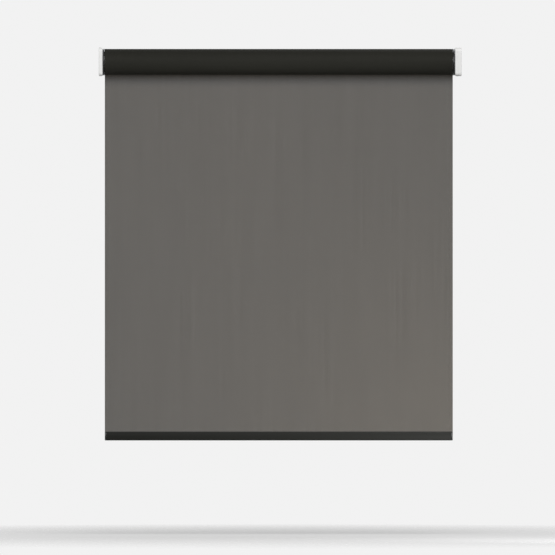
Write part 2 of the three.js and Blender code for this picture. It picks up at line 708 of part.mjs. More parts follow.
function addControls() {
  const at = (y) => [headMiddle, y, 0];
  const button = turned(
    [
      [-halfHeight - BUTTON_PROUD, BUTTON_TIP_RADIUS],
      [-halfHeight - BUTTON_PROUD + BUTTON_TIP, BUTTON_RADIUS],
      [collarBottom, BUTTON_RADIUS],
      [collarBottom, BUTTON_COLLAR_RADIUS],
      [collarTop, BUTTON_COLLAR_RADIUS],
    ],
    MEDIUM,
    "z",
    at(BUTTON_Y),
  );
  add("control_button", button, BLACK_PLASTIC);
  const half = SWITCH_SIDE / 2;
  const switchY = [BUTTON_Y - half, BUTTON_Y + half];
  const switchX = [headMiddle - half, headMiddle + half];
  const switchZ = [switchBottom, switchBottom + SWITCH];
  add("button_switch", block(switchX, switchY, switchZ), BLACK_PLASTIC);
  const coilEnds = [collarTop + GAP / 2, switchBottom - GAP / 2];
  const wound = spring(BUTTON_RADIUS, BUTTON_WIRE, ...coilEnds, BUTTON_TURNS, "z", at(BUTTON_Y));
  add("button_spring", wound, BRIGHT_STEEL);
  const lens = rod(LENS_RADIUS, -halfHeight, chinBottom + LENS_DEPTH, COARSE, "z", at(LENS_Y));
  add("status_lens", lens, CLEAR_LENS);
}

function addCharging() {
  const side = SOCKET_WIDTH / 2;
  const thick = SOCKET_THICKNESS / 2;
  const top = chinBottom + SOCKET_DEPTH + GAP;
  const bottom = chinBottom + GAP;
  const outer = block(
    [headMiddle - thick, headMiddle + thick],
    [SOCKET_Y - side, SOCKET_Y + side],
    [bottom, top],
  );
  const inner = block(
    [headMiddle - thick + SOCKET_WALL, headMiddle + thick - SOCKET_WALL],
    [SOCKET_Y - side + SOCKET_WALL, SOCKET_Y + side - SOCKET_WALL],
    [bottom - 1, top - SOCKET_WALL],
  );
  add("charge_socket", cut(outer, inner), BRIGHT_STEEL);
  const flap = block(
    [headMiddle - thick - FLAP_SIDE, headMiddle + thick + FLAP_SIDE],
    [SOCKET_Y - side - FLAP_END, SOCKET_Y + side + FLAP_END],
    [-halfHeight, chinBottom - GAP],
  );
  const room = SOCKET_WALL + GAP;
  const tongue = block(
    [headMiddle - thick + room, headMiddle + thick - room],
    [SOCKET_Y - side + room, SOCKET_Y + side - room],
    [chinBottom - 2 * GAP, chinBottom + TONGUE],
  );
  add("charge_cover", join(flap, tongue), RUBBER);
}

function addElectronics() {
  const boardLeft = boardRight - BOARD_LENGTH;
  const half = BOARD_WIDTH / 2;
  const face = BOARD / 2;
  const plate = block([boardLeft, boardRight], [-half, half], [-face, face]);
  const parts = BOARD_PARTS.map(({ from, length, side, height }) =>
    block([boardLeft + from, boardLeft + from + length], side, [0, face + height]),
  );
  add("control_board", join(plate, ...parts), GREEN_BOARD);
  for (let i = 0; i < CELL_COUNT; i += 1) {
    const right = cellsRight - i * cellPitch;
    const cell = turned(
      [
        [right - CELL_LENGTH, CELL_RADIUS],
        [right - TERMINAL, CELL_RADIUS],
        [right - TERMINAL, TERMINAL_RADIUS],
        [right, TERMINAL_RADIUS],
      ],
      MEDIUM,
    );
    add(`battery_cell_${i + 1}`, cell, CELL_SLEEVE);
  }
  const bed = CELL_RADIUS + GAP;
  const tray = new THREE.Shape();
  tray.absarc(0, 0, inCasing, Math.PI, 2 * Math.PI);
  tray.absarc(0, 0, bed, 2 * Math.PI, Math.PI, true);
  tray.closePath();
  add("cell_cradle", prism(tray, cellsLeft, cellsRight, FINE / 4), BLACK_PLASTIC);
}

function addMotor() {
  const can = turned(
    [
      [motorLeft, motorRadius - MOTOR_CHAMFER],
      [motorLeft + MOTOR_CHAMFER, motorRadius],
      [motorRight - MOTOR_TAIL - MOTOR_CHAMFER, motorRadius],
      [motorRight - MOTOR_TAIL, motorTailRadius],
      [motorRight, motorTailRadius],
    ],
    FINE,
  );
  add("dc_motor", can, ZINC_STEEL);
  const middle = (motorLeft + motorRight) / 2;
  const damperX = [middle - DAMPER_WIDTH / 2, middle + DAMPER_WIDTH / 2];
  add("motor_damper", ring(motorRadius + GAP, inCasing, ...damperX, FINE), RUBBER);
  const reducer = rod(reducerRadius, reducerLeft, reducerLeft + REDUCER_LENGTH, FINE);
  const holeEnd = reducerLeft + GEAR_SHAFT_REACH + 1;
  const shaftHole = rod(GEAR_SHAFT_RADIUS + RUN, reducerLeft - 1, holeEnd, COARSE);
  add("first_reducer", cut(reducer, shaftHole), ZINC_STEEL);
}

function addOutputStage() {
  const ringPitch = (gearModule * ringTeeth) / 2;
  const cavity = ringPitch - ADDENDUM * gearModule;
  const rootRadius = ringPitch + DEDENDUM * gearModule;
  const toothed = gearOutline(ringTeeth, rootRadius, cavity, 2 - TOOTH_FILL);
  const gearCase = cut(
    rod(inCasing, gearCaseLeft, gearRight + GAP, FINE),
    rod(SHAFT_RADIUS + 2 * GAP, gearCaseLeft - 1, gearRight, MEDIUM),
    rod(cavity, carrierLeft - GAP, gearLeft, FINE),
    prism(toothed, gearLeft - GAP / 2, gearRight + 1),
  );
  add("gear_case", gearCase, PALE_NYLON);

  const sun = join(
    prism(gearSection(SUN_TEETH), gearLeft, gearRight),
    rod(GEAR_SHAFT_RADIUS, gearRight - 1, reducerLeft + GEAR_SHAFT_REACH, COARSE),
  );
  add("sun_gear", sun, BRIGHT_STEEL);

  const carrierRight = carrierLeft + CARRIER;
  let carrier = join(
    rod(cavity - 1, carrierLeft, carrierRight, FINE),
    rod(SHAFT_RADIUS, wheelLeft, carrierLeft + 1, MEDIUM),
  );
  const flat = block([wheelLeft - 1, wheelRight], [SHAFT_FLAT, SHAFT_RADIUS + 1], acrossShaft);
  const threadRadius = DRIVE_SCREW.shankRadius + 2 * RUN;
  const threadEnd = wheelLeft + DRIVE_SCREW.shank + 1;
  carrier = cut(carrier, flat, rod(threadRadius, wheelLeft - 1, threadEnd, COARSE));
  for (let i = 0; i < PLANET_COUNT; i += 1) {
    const turn = (2 * Math.PI * i) / PLANET_COUNT;
    const middle = [0, planetOrbit * Math.cos(turn), planetOrbit * Math.sin(turn)];
    const pin = rod(PLANET_PIN_RADIUS, carrierRight - 1, gearRight, COARSE, "x", middle);
    carrier = carrier.add(pin);
    const bore = rod(PLANET_PIN_RADIUS + RUN, gearLeft - 1, gearRight + 1, COARSE);
    const planet = new THREE.Group();
    planet.position.set(...middle);
    planet.rotation.x = turn;
    blind.add(planet);
    const gear = cut(prism(gearSection(PLANET_TEETH), gearLeft, gearRight), bore);
    add(`planet_gear_${i + 1}`, gear, PALE_NYLON, planet);
  }
  add("planet_carrier", carrier, BRIGHT_STEEL);
}

function addCasingNose() {
  const plug = rod(inCasing, noseLeft + 1, casingLeft + NOSE_PLUG, FINE);
  const flange = rod(casingRadius, noseLeft, noseLeft + NOSE_FLANGE, FINE);
  const hole = rod(OUTPUT_BEARING_RADIUS + GAP, noseLeft - 1, casingLeft + NOSE_PLUG + 1, MEDIUM);
  add("casing_nose", cut(join(plug, flange), hole), BLACK_PLASTIC);
  const bearingX = [noseLeft, casingLeft + NOSE_PLUG];
  add("output_bearing", ring(SHAFT_RADIUS + RUN, OUTPUT_BEARING_RADIUS, ...bearingX, MEDIUM), BRONZE);
}

function addDriveWheel() {
  const keyed = cut(
    rod(SHAFT_RADIUS + RUN, wheelLeft - 1, wheelRight + 1, MEDIUM),
    block([wheelLeft - 2, wheelRight + 2], [SHAFT_FLAT + GAP, SHAFT_RADIUS + 1], acrossShaft),
  );
  const lighter = [];
  for (let i = 0; i < WHEEL_HOLES; i += 1) {
    const turn = (2 * Math.PI * (i + 0.5)) / WHEEL_HOLES;
    const middle = [0, wheelHoleOrbit * Math.cos(turn), wheelHoleOrbit * Math.sin(turn)];
    lighter.push(rod(wheelHoleRadius, wheelLeft - 1, wheelRight + 1, COARSE, "x", middle));
  }
  add("drive_wheel", cut(prism(tubeFit(), wheelLeft, wheelRight), keyed, ...lighter), BLACK_PLASTIC);
  const screwX = wheelLeft - GAP - DRIVE_SCREW.head;
  add("drive_screw", screw(DRIVE_SCREW, "x", [screwX, 0, 0]), BRIGHT_STEEL);
}

function addHangingCloth() {
  const hem = barTop - HEM_LIP - HEM_INSERT;
  const cloth = block([clothLeft, clothRight], [clothFront, clothFront + CLOTH], [hem, 0]);
  add("fabric_sheet", cloth, CHARCOAL_CLOTH);
}

function addBottomBar() {
  const half = BAR_THICKNESS / 2;
  const capSpace = BAR_CAP + GAP;
  const barX = [clothLeft + capSpace, clothRight - capSpace];
  const outline = roundedSection([barY - half, barY + half], [-DROP, barTop], BAR_CORNER);
  const room = HEM_ROOM / 2;
  const channelTop = barTop - HEM_LIP;
  const channelBottom = channelTop - HEM_ROOM;
  const hollowY = [barY - half + BAR_WALL, barY + half - BAR_WALL];
  const hollowZ = [-DROP + BAR_WALL, channelBottom - BAR_WALL];
  const past = [barX[0] - 1, barX[1] + 1];
  const mouth = HEM_SLOT / 2;
  const bar = cut(
    prism(outline, ...barX, SHORT_ARC),
    block(past, [barY - mouth, barY + mouth], [channelTop - 1, barTop + 1]),
    block(past, [barY - room, barY + room], [channelBottom, channelTop]),
    block(past, hollowY, hollowZ),
  );
  add("bottom_bar", bar, DARK_BAR);

  const splineY = [barY - room + GAP, barY + room - GAP];
  const splineZ = [channelBottom + GAP, channelTop - HEM_INSERT - GAP];
  add("bar_spline", block(barX, splineY, splineZ), PALE_NYLON);

  const tongueY = [hollowY[0] + GAP, hollowY[1] - GAP];
  const tongueZ = [hollowZ[0] + GAP, hollowZ[1] - GAP];
  const ends = [
    ["bar_cap_left", clothLeft, 1],
    ["bar_cap_right", clothRight, -1],
  ];
  for (const [name, face, inward] of ends) {
    const plate = prism(outline, ...between(face, face + inward * BAR_CAP), SHORT_ARC);
    const tongueX = between(face + inward, face + inward * (BAR_CAP + CAP_TONGUE));
    const mouthCut = block(
      between(face - inward, face + inward * (BAR_CAP + 1)),
      [barY - mouth, barY + mouth],
      [channelTop - HEM_INSERT - GAP, barTop + 1],
    );
    add(name, join(cut(plate, mouthCut), block(tongueX, tongueY, tongueZ)), BLACK_PLASTIC);
  }
}

addLeftBracket();
addRightBracket();
addFixingScrews();
addAdapter();
addRoller();
addIdleEnd();
addCrown();
addMotorHead();
addCasing();
addControls();
addCharging();
addElectronics();
addMotor();
addOutputStage();
addCasingNose();
addDriveWheel();
addHangingCloth();
addBottomBar();

export default blind;
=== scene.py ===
# %% [markdown]
# A motorised roller blind, dressed for a studio picture.
#
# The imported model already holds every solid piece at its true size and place, so it comes
# first and stays fixed. The cells after it give those pieces their finishes, and replace the
# ones whose surfaces want more than a faceted solid: the wound cloth, the hanging cloth, the
# bottom bar, the bracket covers, the brackets, the screws and the springs.

# %% Load the model
import json
import math

import bmesh
import bpy
import numpy as np
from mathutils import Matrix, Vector


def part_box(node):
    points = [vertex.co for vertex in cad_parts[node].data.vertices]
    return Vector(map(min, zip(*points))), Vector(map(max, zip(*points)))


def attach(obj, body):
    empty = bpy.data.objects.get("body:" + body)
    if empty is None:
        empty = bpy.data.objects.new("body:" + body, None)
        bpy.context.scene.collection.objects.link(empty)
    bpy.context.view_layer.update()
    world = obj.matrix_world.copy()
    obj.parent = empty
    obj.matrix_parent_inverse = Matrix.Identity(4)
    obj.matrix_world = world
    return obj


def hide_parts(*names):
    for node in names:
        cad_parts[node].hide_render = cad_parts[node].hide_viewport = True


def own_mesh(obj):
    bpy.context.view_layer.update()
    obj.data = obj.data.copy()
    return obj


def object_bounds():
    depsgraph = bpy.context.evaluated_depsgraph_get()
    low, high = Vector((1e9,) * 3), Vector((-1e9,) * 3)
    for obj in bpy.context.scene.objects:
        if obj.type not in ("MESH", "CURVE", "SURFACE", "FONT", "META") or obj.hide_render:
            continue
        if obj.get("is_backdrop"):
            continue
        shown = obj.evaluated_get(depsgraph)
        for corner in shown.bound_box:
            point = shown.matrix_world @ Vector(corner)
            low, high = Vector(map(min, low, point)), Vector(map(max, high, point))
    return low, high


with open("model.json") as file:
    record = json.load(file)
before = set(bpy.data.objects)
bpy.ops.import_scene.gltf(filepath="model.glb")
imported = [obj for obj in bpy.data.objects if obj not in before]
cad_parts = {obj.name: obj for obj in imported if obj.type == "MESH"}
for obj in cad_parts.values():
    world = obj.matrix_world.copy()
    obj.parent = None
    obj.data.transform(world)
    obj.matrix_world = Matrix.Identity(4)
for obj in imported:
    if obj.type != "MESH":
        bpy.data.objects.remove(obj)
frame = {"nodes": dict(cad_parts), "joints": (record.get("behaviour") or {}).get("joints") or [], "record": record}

MM = 0.001
cad_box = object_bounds()
print("the model is", [round(side / MM, 1) for side in cad_box[1] - cad_box[0]], "mm")

# %% [markdown]
# Every shape below is a grid of points, worked out as whole arrays, and two small helpers turn
# such grids into meshes. A grid can be closed round its columns, as a tube is, or round its
# rows as well, as a ring is. Where it stays open, one flat face closes each end, because a
# surface that encloses no volume has no inside and outside to tell apart.


# %% Grids into meshes
SAME_POINT = 1e-7


def grid_faces(rows, columns, wrap_rows=False, wrap_columns=True):
    """Four-sided faces between neighbours in a grid: (i, j), (i, j+1), (i+1, j+1), (i+1, j)."""
    i = np.arange(rows if wrap_rows else rows - 1)[:, None]
    j = np.arange(columns if wrap_columns else columns - 1)[None, :]
    below, beside = (i + 1) % rows, (j + 1) % columns
    here, there = i * columns, below * columns
    return np.stack([here + j, here + beside, there + beside, there + j], -1).reshape(-1, 4)


def new_mesh(name, points, face_sets):
    """An object from (n, 3) points and several (m, k) arrays of faces, its normals outward."""
    points = np.asarray(points, np.float32).reshape(-1, 3)
    sizes = np.concatenate([np.full(len(faces), faces.shape[1]) for faces in face_sets])
    corners = np.concatenate([faces.ravel() for faces in face_sets])
    mesh = bpy.data.meshes.new(name)
    mesh.vertices.add(len(points))
    mesh.vertices.foreach_set("co", points.ravel())
    mesh.loops.add(len(corners))
    mesh.loops.foreach_set("vertex_index", corners.astype(np.int32))
    mesh.polygons.add(len(sizes))
    mesh.polygons.foreach_set("loop_start", (np.cumsum(sizes) - sizes).astype(np.int32))
    mesh.update(calc_edges=True)
    mesh.validate()
    work = bmesh.new()
    work.from_mesh(mesh)
    bmesh.ops.remove_doubles(work, verts=work.verts, dist=SAME_POINT)
    bmesh.ops.recalc_face_normals(work, faces=work.faces)
    work.to_mesh(mesh)
    work.free()
    piece = bpy.data.objects.new(name, mesh)
    bpy.context.scene.collection.objects.link(piece)
    return piece


def loft(name, loops):
    """A solid skinned over a stack of closed loops, shaped (rows, columns, 3), with flat ends."""
    rows, columns = loops.shape[:2]
    ends = np.array([np.arange(columns)[::-1], np.arange(columns) + (rows - 1) * columns])
    return new_mesh(name, loops, [grid_faces(rows, columns), ends])


# %% [markdown]
# Most outlines of moulded and rolled parts are straight runs with rounded corners. Rounding
# them in the outline itself, rather than with a modifier, keeps each radius exact and costs
# only a few points.


# %% Outlines
def round_corners(corners, radius, steps=6):
    """A closed outline whose corners are parabolas that start and end a radius from them."""
    corner = np.asarray(corners, float)
    reach = np.broadcast_to(np.asarray(radius, float), len(corner))[:, None]
    back, ahead = np.roll(corner, 1, 0) - corner, np.roll(corner, -1, 0) - corner
    start = corner + back / np.linalg.norm(back, axis=1, keepdims=True) * reach
    end = corner + ahead / np.linalg.norm(ahead, axis=1, keepdims=True) * reach
    start, corner, end = start[:, None], corner[:, None], end[:, None]
    t = np.linspace(0, 1, steps)[None, :, None]
    return ((1 - t) ** 2 * start + 2 * t * (1 - t) * corner + t**2 * end).reshape(-1, 2)


def rounded_rectangle(low, high, corner, inset, steps=10):
    """A rectangle with quarter-circle corners, every point moved inwards by inset."""
    turn = np.linspace(0, np.pi / 2, steps)[None, :] + np.pi / 2 * np.arange(4)[:, None]
    sign = np.array([[1, 1], [-1, 1], [-1, -1], [1, -1]])[:, None, :]
    half = (np.asarray(high) - np.asarray(low)) / 2
    middle = (np.asarray(high) + np.asarray(low)) / 2
    arc = np.stack([np.cos(turn), np.sin(turn)], -1) * (corner - inset)
    return (middle + sign * (half - corner) + arc).reshape(-1, 2)


def along_x(outline, x):
    """An outline in Y and Z, placed at one x."""
    return np.column_stack([np.full(len(outline), x), outline])


def turned(name, profile, centre, axis, steps=48):
    """A profile of (place along the axis, radius) pairs, turned once about the axis."""
    angle = np.linspace(0, 2 * np.pi, steps, endpoint=False)
    along, radius = np.asarray(profile, float).T[:, :, None]
    grid = np.zeros((len(profile), steps, 3))
    grid[..., axis] = along
    grid[..., (axis + 1) % 3] = radius * np.cos(angle)
    grid[..., (axis + 2) % 3] = radius * np.sin(angle)
    return loft(name, grid + np.asarray(centre, float))


# %% [markdown]
# Holes are easiest to drill as they are on the real part: a second solid is taken away from the
# first. The result replaces the mesh at once, so the drill can be thrown away.


# %% Drilling and edge breaking
def drill(piece, *drills):
    """Takes solids out of a piece and removes them."""
    for tool in drills:
        cut = piece.modifiers.new("cut", "BOOLEAN")
        cut.object, cut.operation, cut.solver = tool, "DIFFERENCE", "EXACT"
    evaluated = piece.evaluated_get(bpy.context.evaluated_depsgraph_get())
    cut_mesh = bpy.data.meshes.new_from_object(evaluated)
    piece.modifiers.clear()
    piece.data = cut_mesh
    for tool in drills:
        bpy.data.objects.remove(tool)
    return piece


def rod_drill(radius, centre, axis, length, steps=40):
    """A round drill, centred on a point."""
    return turned("drill", [(-length / 2, radius), (length / 2, radius)], centre, axis, steps)


def block_drill(low, high):
    """A square-cornered drill between two corners."""
    outline = rounded_rectangle(low[1:], high[1:], 0.01 * MM, 0, 2)
    return loft("drill", np.array([along_x(outline, x) for x in (low[0], high[0])]))


def soften(piece, width, angle=38, segments=2):
    """Smooth shading, and a small round on every edge sharper than the angle."""
    piece.data.shade_smooth()
    if width:
        bevel = piece.modifiers.new("edge", "BEVEL")
        bevel.width, bevel.segments, bevel.limit_method = width, segments, "ANGLE"
        bevel.angle_limit = math.radians(angle)
        bevel.harden_normals = True
    else:
        piece.data.set_sharp_from_angle(angle=math.radians(angle))
    return piece


# %% [markdown]
# Finishes are built from nodes. Two small classes keep them readable: a finish is one material
# and adds any node to it, and a value is one output of a node, so that sums and products of
# values can be written as they would be on paper.


# %% Writing shaders as expressions
class Value:
    """An output socket. Arithmetic on it, from either side, adds Math nodes."""

    def __init__(self, finish, socket):
        self.finish, self.socket = finish, socket

    def math(self, operation, left, right=None):
        inputs = {0: left} if right is None else {0: left, 1: right}
        return self.finish.node("Math", {"operation": operation}, inputs)

    def __add__(self, other):
        return self.math("ADD", self, other)

    def __radd__(self, other):
        return self.math("ADD", other, self)

    def __sub__(self, other):
        return self.math("SUBTRACT", self, other)

    def __rsub__(self, other):
        return self.math("SUBTRACT", other, self)

    def __mul__(self, other):
        return self.math("MULTIPLY", self, other)

    def __rmul__(self, other):
        return self.math("MULTIPLY", other, self)

    def __truediv__(self, other):
        return self.math("DIVIDE", self, other)

    def __pow__(self, other):
        return self.math("POWER", self, other)

    def __abs__(self):
        return self.math("ABSOLUTE", self)

    def sine(self):
        return self.math("SINE", self)

    def above(self, limit):
        return self.math("GREATER_THAN", self, limit)

    def at_most(self, other):
        return self.math("MINIMUM", self, other)

    def at_least(self, other):
        return self.math("MAXIMUM", self, other)


class Finish:
    """One material, whose nodes are added by type, settings and inputs."""

    def __init__(self, name):
        self.material = bpy.data.materials.new(name)
        self.material.use_nodes = True
        self.tree = self.material.node_tree
        self.tree.nodes.clear()

    def node(self, kind, settings=None, inputs=None, output=0):
        """Adds a node: its settings first, then a value or a link for each socket named."""
        node = self.tree.nodes.new("ShaderNode" + kind)
        for key, setting in (settings or {}).items():
            setattr(node, key, setting)
        for key, source in (inputs or {}).items():
            if isinstance(source, Value):
                self.tree.links.new(source.socket, node.inputs[key])
            elif isinstance(source, tuple) and node.inputs[key].type == "RGBA":
                node.inputs[key].default_value = (*source, 1)
            else:
                node.inputs[key].default_value = source
        return Value(self, node.outputs[output])

    def place(self, source="Object"):
        return self.node("TexCoord", output=source)

    def part(self, vector, index):
        """One of the three numbers of a vector."""
        return self.node("SeparateXYZ", inputs={"Vector": vector}, output=index)

    def scaled(self, coordinates, scale):
        return self.node("Mapping", inputs={"Vector": coordinates, "Scale": scale})

    def noise(self, coordinates, scale, detail=2, roughness=0.5):
        values = {"Vector": coordinates, "Scale": scale, "Detail": detail, "Roughness": roughness}
        return self.node("TexNoise", inputs=values)

    def colours(self, factor, first, second):
        """A colour between two, which can be fixed or come from other nodes."""
        inputs = {0: factor, 6: first, 7: second}
        return self.node("Mix", {"data_type": "RGBA"}, inputs, output=2)

    def bump(self, height, depth, strength=1.0):
        """A surface normal from a height between 0 and 1, worth so many metres."""
        return self.node("Bump", inputs={"Height": height, "Distance": depth, "Strength": strength})

    def surface(self, **inputs):
        """The main shader, its sockets named with underscores for spaces."""
        named = {key.replace("_", " "): value for key, value in inputs.items()}
        return self.node("BsdfPrincipled", inputs=named)

    def done(self, shader):
        output = self.tree.nodes.new("ShaderNodeOutputMaterial")
        self.tree.links.new(shader.socket, output.inputs["Surface"])
        return self.material


# %% [markdown]
# The cloth is a screen weave: coated yarns about a millimetre apart, one set charcoal and the
# other a little browner, crossing over and under each other with a small opening at every
# corner between them. The openings let a ninth of the light through, which is why the hanging
# cloth looks grey against a bright window while the roll, many layers deep, stays nearly black.
# The sheet has a front and a back surface, so each of them passes the square root of that share.
# Across the top of the hanging cloth, just below the roll, its openings are painted smaller:
# a band of painted shade, standing for the shade of a window's head, which is not in the scene.
# The sheet's own two yarn colours are painted lit copies of the roll's, brighter and warmer: painted light.
# A weave on Object coordinates keeps its true scale when the blind is drawn up. The roll needs
# the same weave wrapped round it, so it reads the roll's own map, which is in metres too.

# %% Cloth
YARN = 1.05 * MM
CHARCOAL = (0.0150, 0.0156, 0.0122)
BRONZE_YARN = (0.0190, 0.0180, 0.0140)
# Painted light: lit copies of the two yarn colours, brighter and warmer, for the hanging sheet only, standing for
# light through it.
PAINTED_LIT_CHARCOAL = (0.0310, 0.0245, 0.0150)
PAINTED_LIT_BRONZE = (0.0430, 0.0330, 0.0200)
YARN_ROUND = 0.22 * MM
OPENNESS = 0.112
# Painted shade: between these heights the hanging cloth's openings close to a fraction, so its top is darker just
# below the roll.
PAINTED_SHADE_TO, PAINTED_SHADE_FROM = -0.062, -0.026
LEAST_THROUGH_IN_PAINTED_SHADE = 0.2
GAP_EDGE = 1.6
FINE, LONG, ACROSS = 420, 3, 60


def yarns(finish, coordinates):
    """The weave at a point: how high the surface is, which yarn is on top, and the gap mask."""
    warp = (finish.part(coordinates, 0) * (math.pi / YARN)).sine()
    weft = (finish.part(coordinates, 2) * (math.pi / YARN)).sine()
    over = (warp * weft).above(0)
    warp_height, weft_height = abs(warp), abs(weft)
    height = over * warp_height + (1 - over) * weft_height
    gap = (1 - warp_height * GAP_EDGE).at_least(0) * (1 - weft_height * GAP_EDGE).at_least(0)
    return height, over, gap.at_most(1)


def screen_cloth(name, source, colours, see_through):
    """Coated screen cloth on Object coordinates or on a map in metres, in two yarn colours."""
    finish = Finish(name)
    place = finish.place(source)
    if source == "UV":
        inputs = {"X": finish.part(place, 0), "Z": finish.part(place, 1)}
        place = finish.node("CombineXYZ", inputs=inputs)
    height, over, gap = yarns(finish, place)
    warp_streaks = finish.noise(finish.scaled(place, (FINE, ACROSS, LONG)), 1.0, 3, 0.6)
    weft_streaks = finish.noise(finish.scaled(place, (LONG, ACROSS, FINE)), 1.0, 3, 0.6)
    drift = finish.noise(place, 5.0, 2)
    # Streaks and drift are random yarn tone. The factor on height is painted shade: the colour is darker where the
    # weave lies low, between and under the yarns.
    streak_tone = 0.62 + 0.28 * warp_streaks + 0.28 * weft_streaks + 0.20 * drift
    inputs = {0: finish.colours(over, *colours), "Scale": streak_tone * (0.55 + 0.6 * height)}
    yarn_colour_with_painted_shade = finish.node("VectorMath", {"operation": "SCALE"}, inputs)
    opening = 0.0
    if see_through:
        # Painted shade: fewer openings towards the top of the sheet, just below the roll.
        below = (PAINTED_SHADE_FROM - finish.part(place, 2)) / (PAINTED_SHADE_FROM - PAINTED_SHADE_TO)
        clear = 1 - (1 - below.at_least(0).at_most(1)) ** 3
        clear = LEAST_THROUGH_IN_PAINTED_SHADE + (1 - LEAST_THROUGH_IN_PAINTED_SHADE) * clear
        opening = math.sqrt(OPENNESS) * clear * (0.84 + 1.2 * gap + 0.2 * warp_streaks)
    return finish.done(
        finish.surface(
            Base_Color=yarn_colour_with_painted_shade,
            Roughness=0.62 + 0.2 * (1 - height),
            Normal=finish.bump(height, YARN_ROUND, 0.55),
            Alpha=1 - opening,
            Specular_IOR_Level=0.12,
        )
    )


# The hanging sheet gets the painted lit copies of the yarn colours, and the roll gets the plain ones.
painted_lit_yarns, plain_yarns = (PAINTED_LIT_BRONZE, PAINTED_LIT_CHARCOAL), (BRONZE_YARN, CHARCOAL)
hanging_cloth_finish = screen_cloth("screen_cloth", "Object", painted_lit_yarns, see_through=True)
wound_cloth_finish = screen_cloth("screen_cloth_wound", "UV", plain_yarns, see_through=False)

# %% [markdown]
# Moulded plastic is never quite even: a fine sparkle from the mould's texture, a slow change
# in gloss where it cooled, and a trace of dust. The same recipe gives the white covers, the
# black plugs and caps and the pale nylon parts, with only colour and gloss changed.


# %% Plastics and rubber
def moulded(name, colour, roughness, grain=0.35 * MM, depth=0.012 * MM, gloss_change=0.08):
    """Satin moulding: a fine grain in the normal, and slow changes in colour and gloss."""
    finish = Finish(name)
    place = finish.place()
    cooling = finish.noise(place, 38, 3)
    grains = finish.noise(place, 1 / grain, 2, 0.6)
    darker = tuple(0.93 * channel for channel in colour)
    lighter = tuple(min(1.0, 1.04 * channel) for channel in colour)
    return finish.done(
        finish.surface(
            Base_Color=finish.colours(0.25 + 0.5 * cooling, darker, lighter),
            Roughness=roughness + gloss_change * (cooling - 0.5) + 0.06 * (grains - 0.5),
            Normal=finish.bump(grains, depth, 0.5),
            Specular_IOR_Level=0.5,
        )
    )


white_finish = moulded("white_plastic", (0.70, 0.70, 0.69), 0.36)
black_finish = moulded("black_plastic", (0.0115, 0.0115, 0.011), 0.42)
nylon_finish = moulded("pale_nylon", (0.68, 0.655, 0.57), 0.48)
rubber_finish = moulded("rubber", (0.02, 0.02, 0.02), 0.72, grain=0.5 * MM, depth=0.03 * MM)

# %% [markdown]
# The metals differ in how they were made. Zinc plate shows large pale crystals. Screws and pins
# were turned, so their scratches run round them, and extrusions were pushed through a die, so
# theirs run along the length. A noise stretched along one axis gives each of those.


# %% Metals
def drawn_metal(name, colour, roughness, stretch, metallic=1.0, mark=0.16, specular=0.5):
    """Metal with fine lines: noise squeezed to hair width on two axes and long on the other."""
    finish = Finish(name)
    place = finish.place()
    lines = finish.noise(finish.scaled(place, stretch), 1.0, 3, 0.65)
    handling = finish.noise(place, 60, 3)
    darker = tuple((1 - mark) * channel for channel in colour)
    return finish.done(
        finish.surface(
            Base_Color=finish.colours(lines, darker, colour),
            Metallic=metallic,
            Roughness=roughness + 0.14 * (lines - 0.5) + 0.10 * (handling - 0.5),
            Normal=finish.bump(lines, 0.01 * MM, 0.4),
            Specular_IOR_Level=specular,
        )
    )


def zinc_plate(name):
    """Zinc crystals: flat cells, each with its own grey and gloss."""
    finish = Finish(name)
    place = finish.place()
    inputs = {"Vector": place, "Scale": 190.0}
    cells = finish.node("TexVoronoi", inputs=inputs, output="Color")
    grey = finish.node("SeparateColor", inputs={"Color": cells})
    haze = finish.noise(place, 55, 3)
    return finish.done(
        finish.surface(
            Base_Color=finish.colours(grey, (0.50, 0.515, 0.53), (0.66, 0.67, 0.68)),
            Metallic=1.0,
            Roughness=0.30 + 0.12 * grey + 0.12 * haze,
            Normal=finish.bump(haze, 0.05 * MM, 0.3),
        )
    )


zinc_finish = zinc_plate("zinc_steel")
ALONG_X, EVEN, COARSE = (8, 2600, 2600), (900, 900, 900), (2200, 2200, 2200)
STEEL, ALUMINIUM, BRONZE = (0.62, 0.63, 0.64), (0.60, 0.61, 0.62), (0.42, 0.28, 0.12)
DARK_COAT, BAR_LINES = (0.0075, 0.0078, 0.0062), (6, 2400, 2400)
steel_finish = drawn_metal("bright_steel", STEEL, 0.24, EVEN)
aluminium_finish = drawn_metal("mill_aluminium", ALUMINIUM, 0.36, ALONG_X)
bar_finish = drawn_metal("dark_bar", DARK_COAT, 0.48, BAR_LINES, metallic=0.0, specular=0.2)
bronze_finish = drawn_metal("bronze", BRONZE, 0.42, COARSE, mark=0.4)


# %% [markdown]
# The last few are small: the green lacquer of the control board with its copper lines showing
# through, the plain film on the cells, and the clear light pipe.


# %% Board, sleeves and lens
def circuit_board(name):
    """Green lacquer over copper lines, which run in straight steps."""
    finish = Finish(name)
    place = finish.place()
    inputs = {"Vector": place, "Scale": 260.0, "Mortar Size": 0.09}
    inputs |= {"Brick Width": 0.9, "Row Height": 0.3}
    lines = finish.node("TexBrick", {"offset": 0.5}, inputs, output="Fac")
    mottle = finish.noise(place, 300, 2)
    return finish.done(
        finish.surface(
            Base_Color=finish.colours(lines, (0.012, 0.085, 0.034), (0.035, 0.16, 0.06)),
            Roughness=0.30 + 0.15 * mottle,
            Normal=finish.bump(lines, 0.03 * MM, 0.5),
            Coat_Weight=0.3,
        )
    )


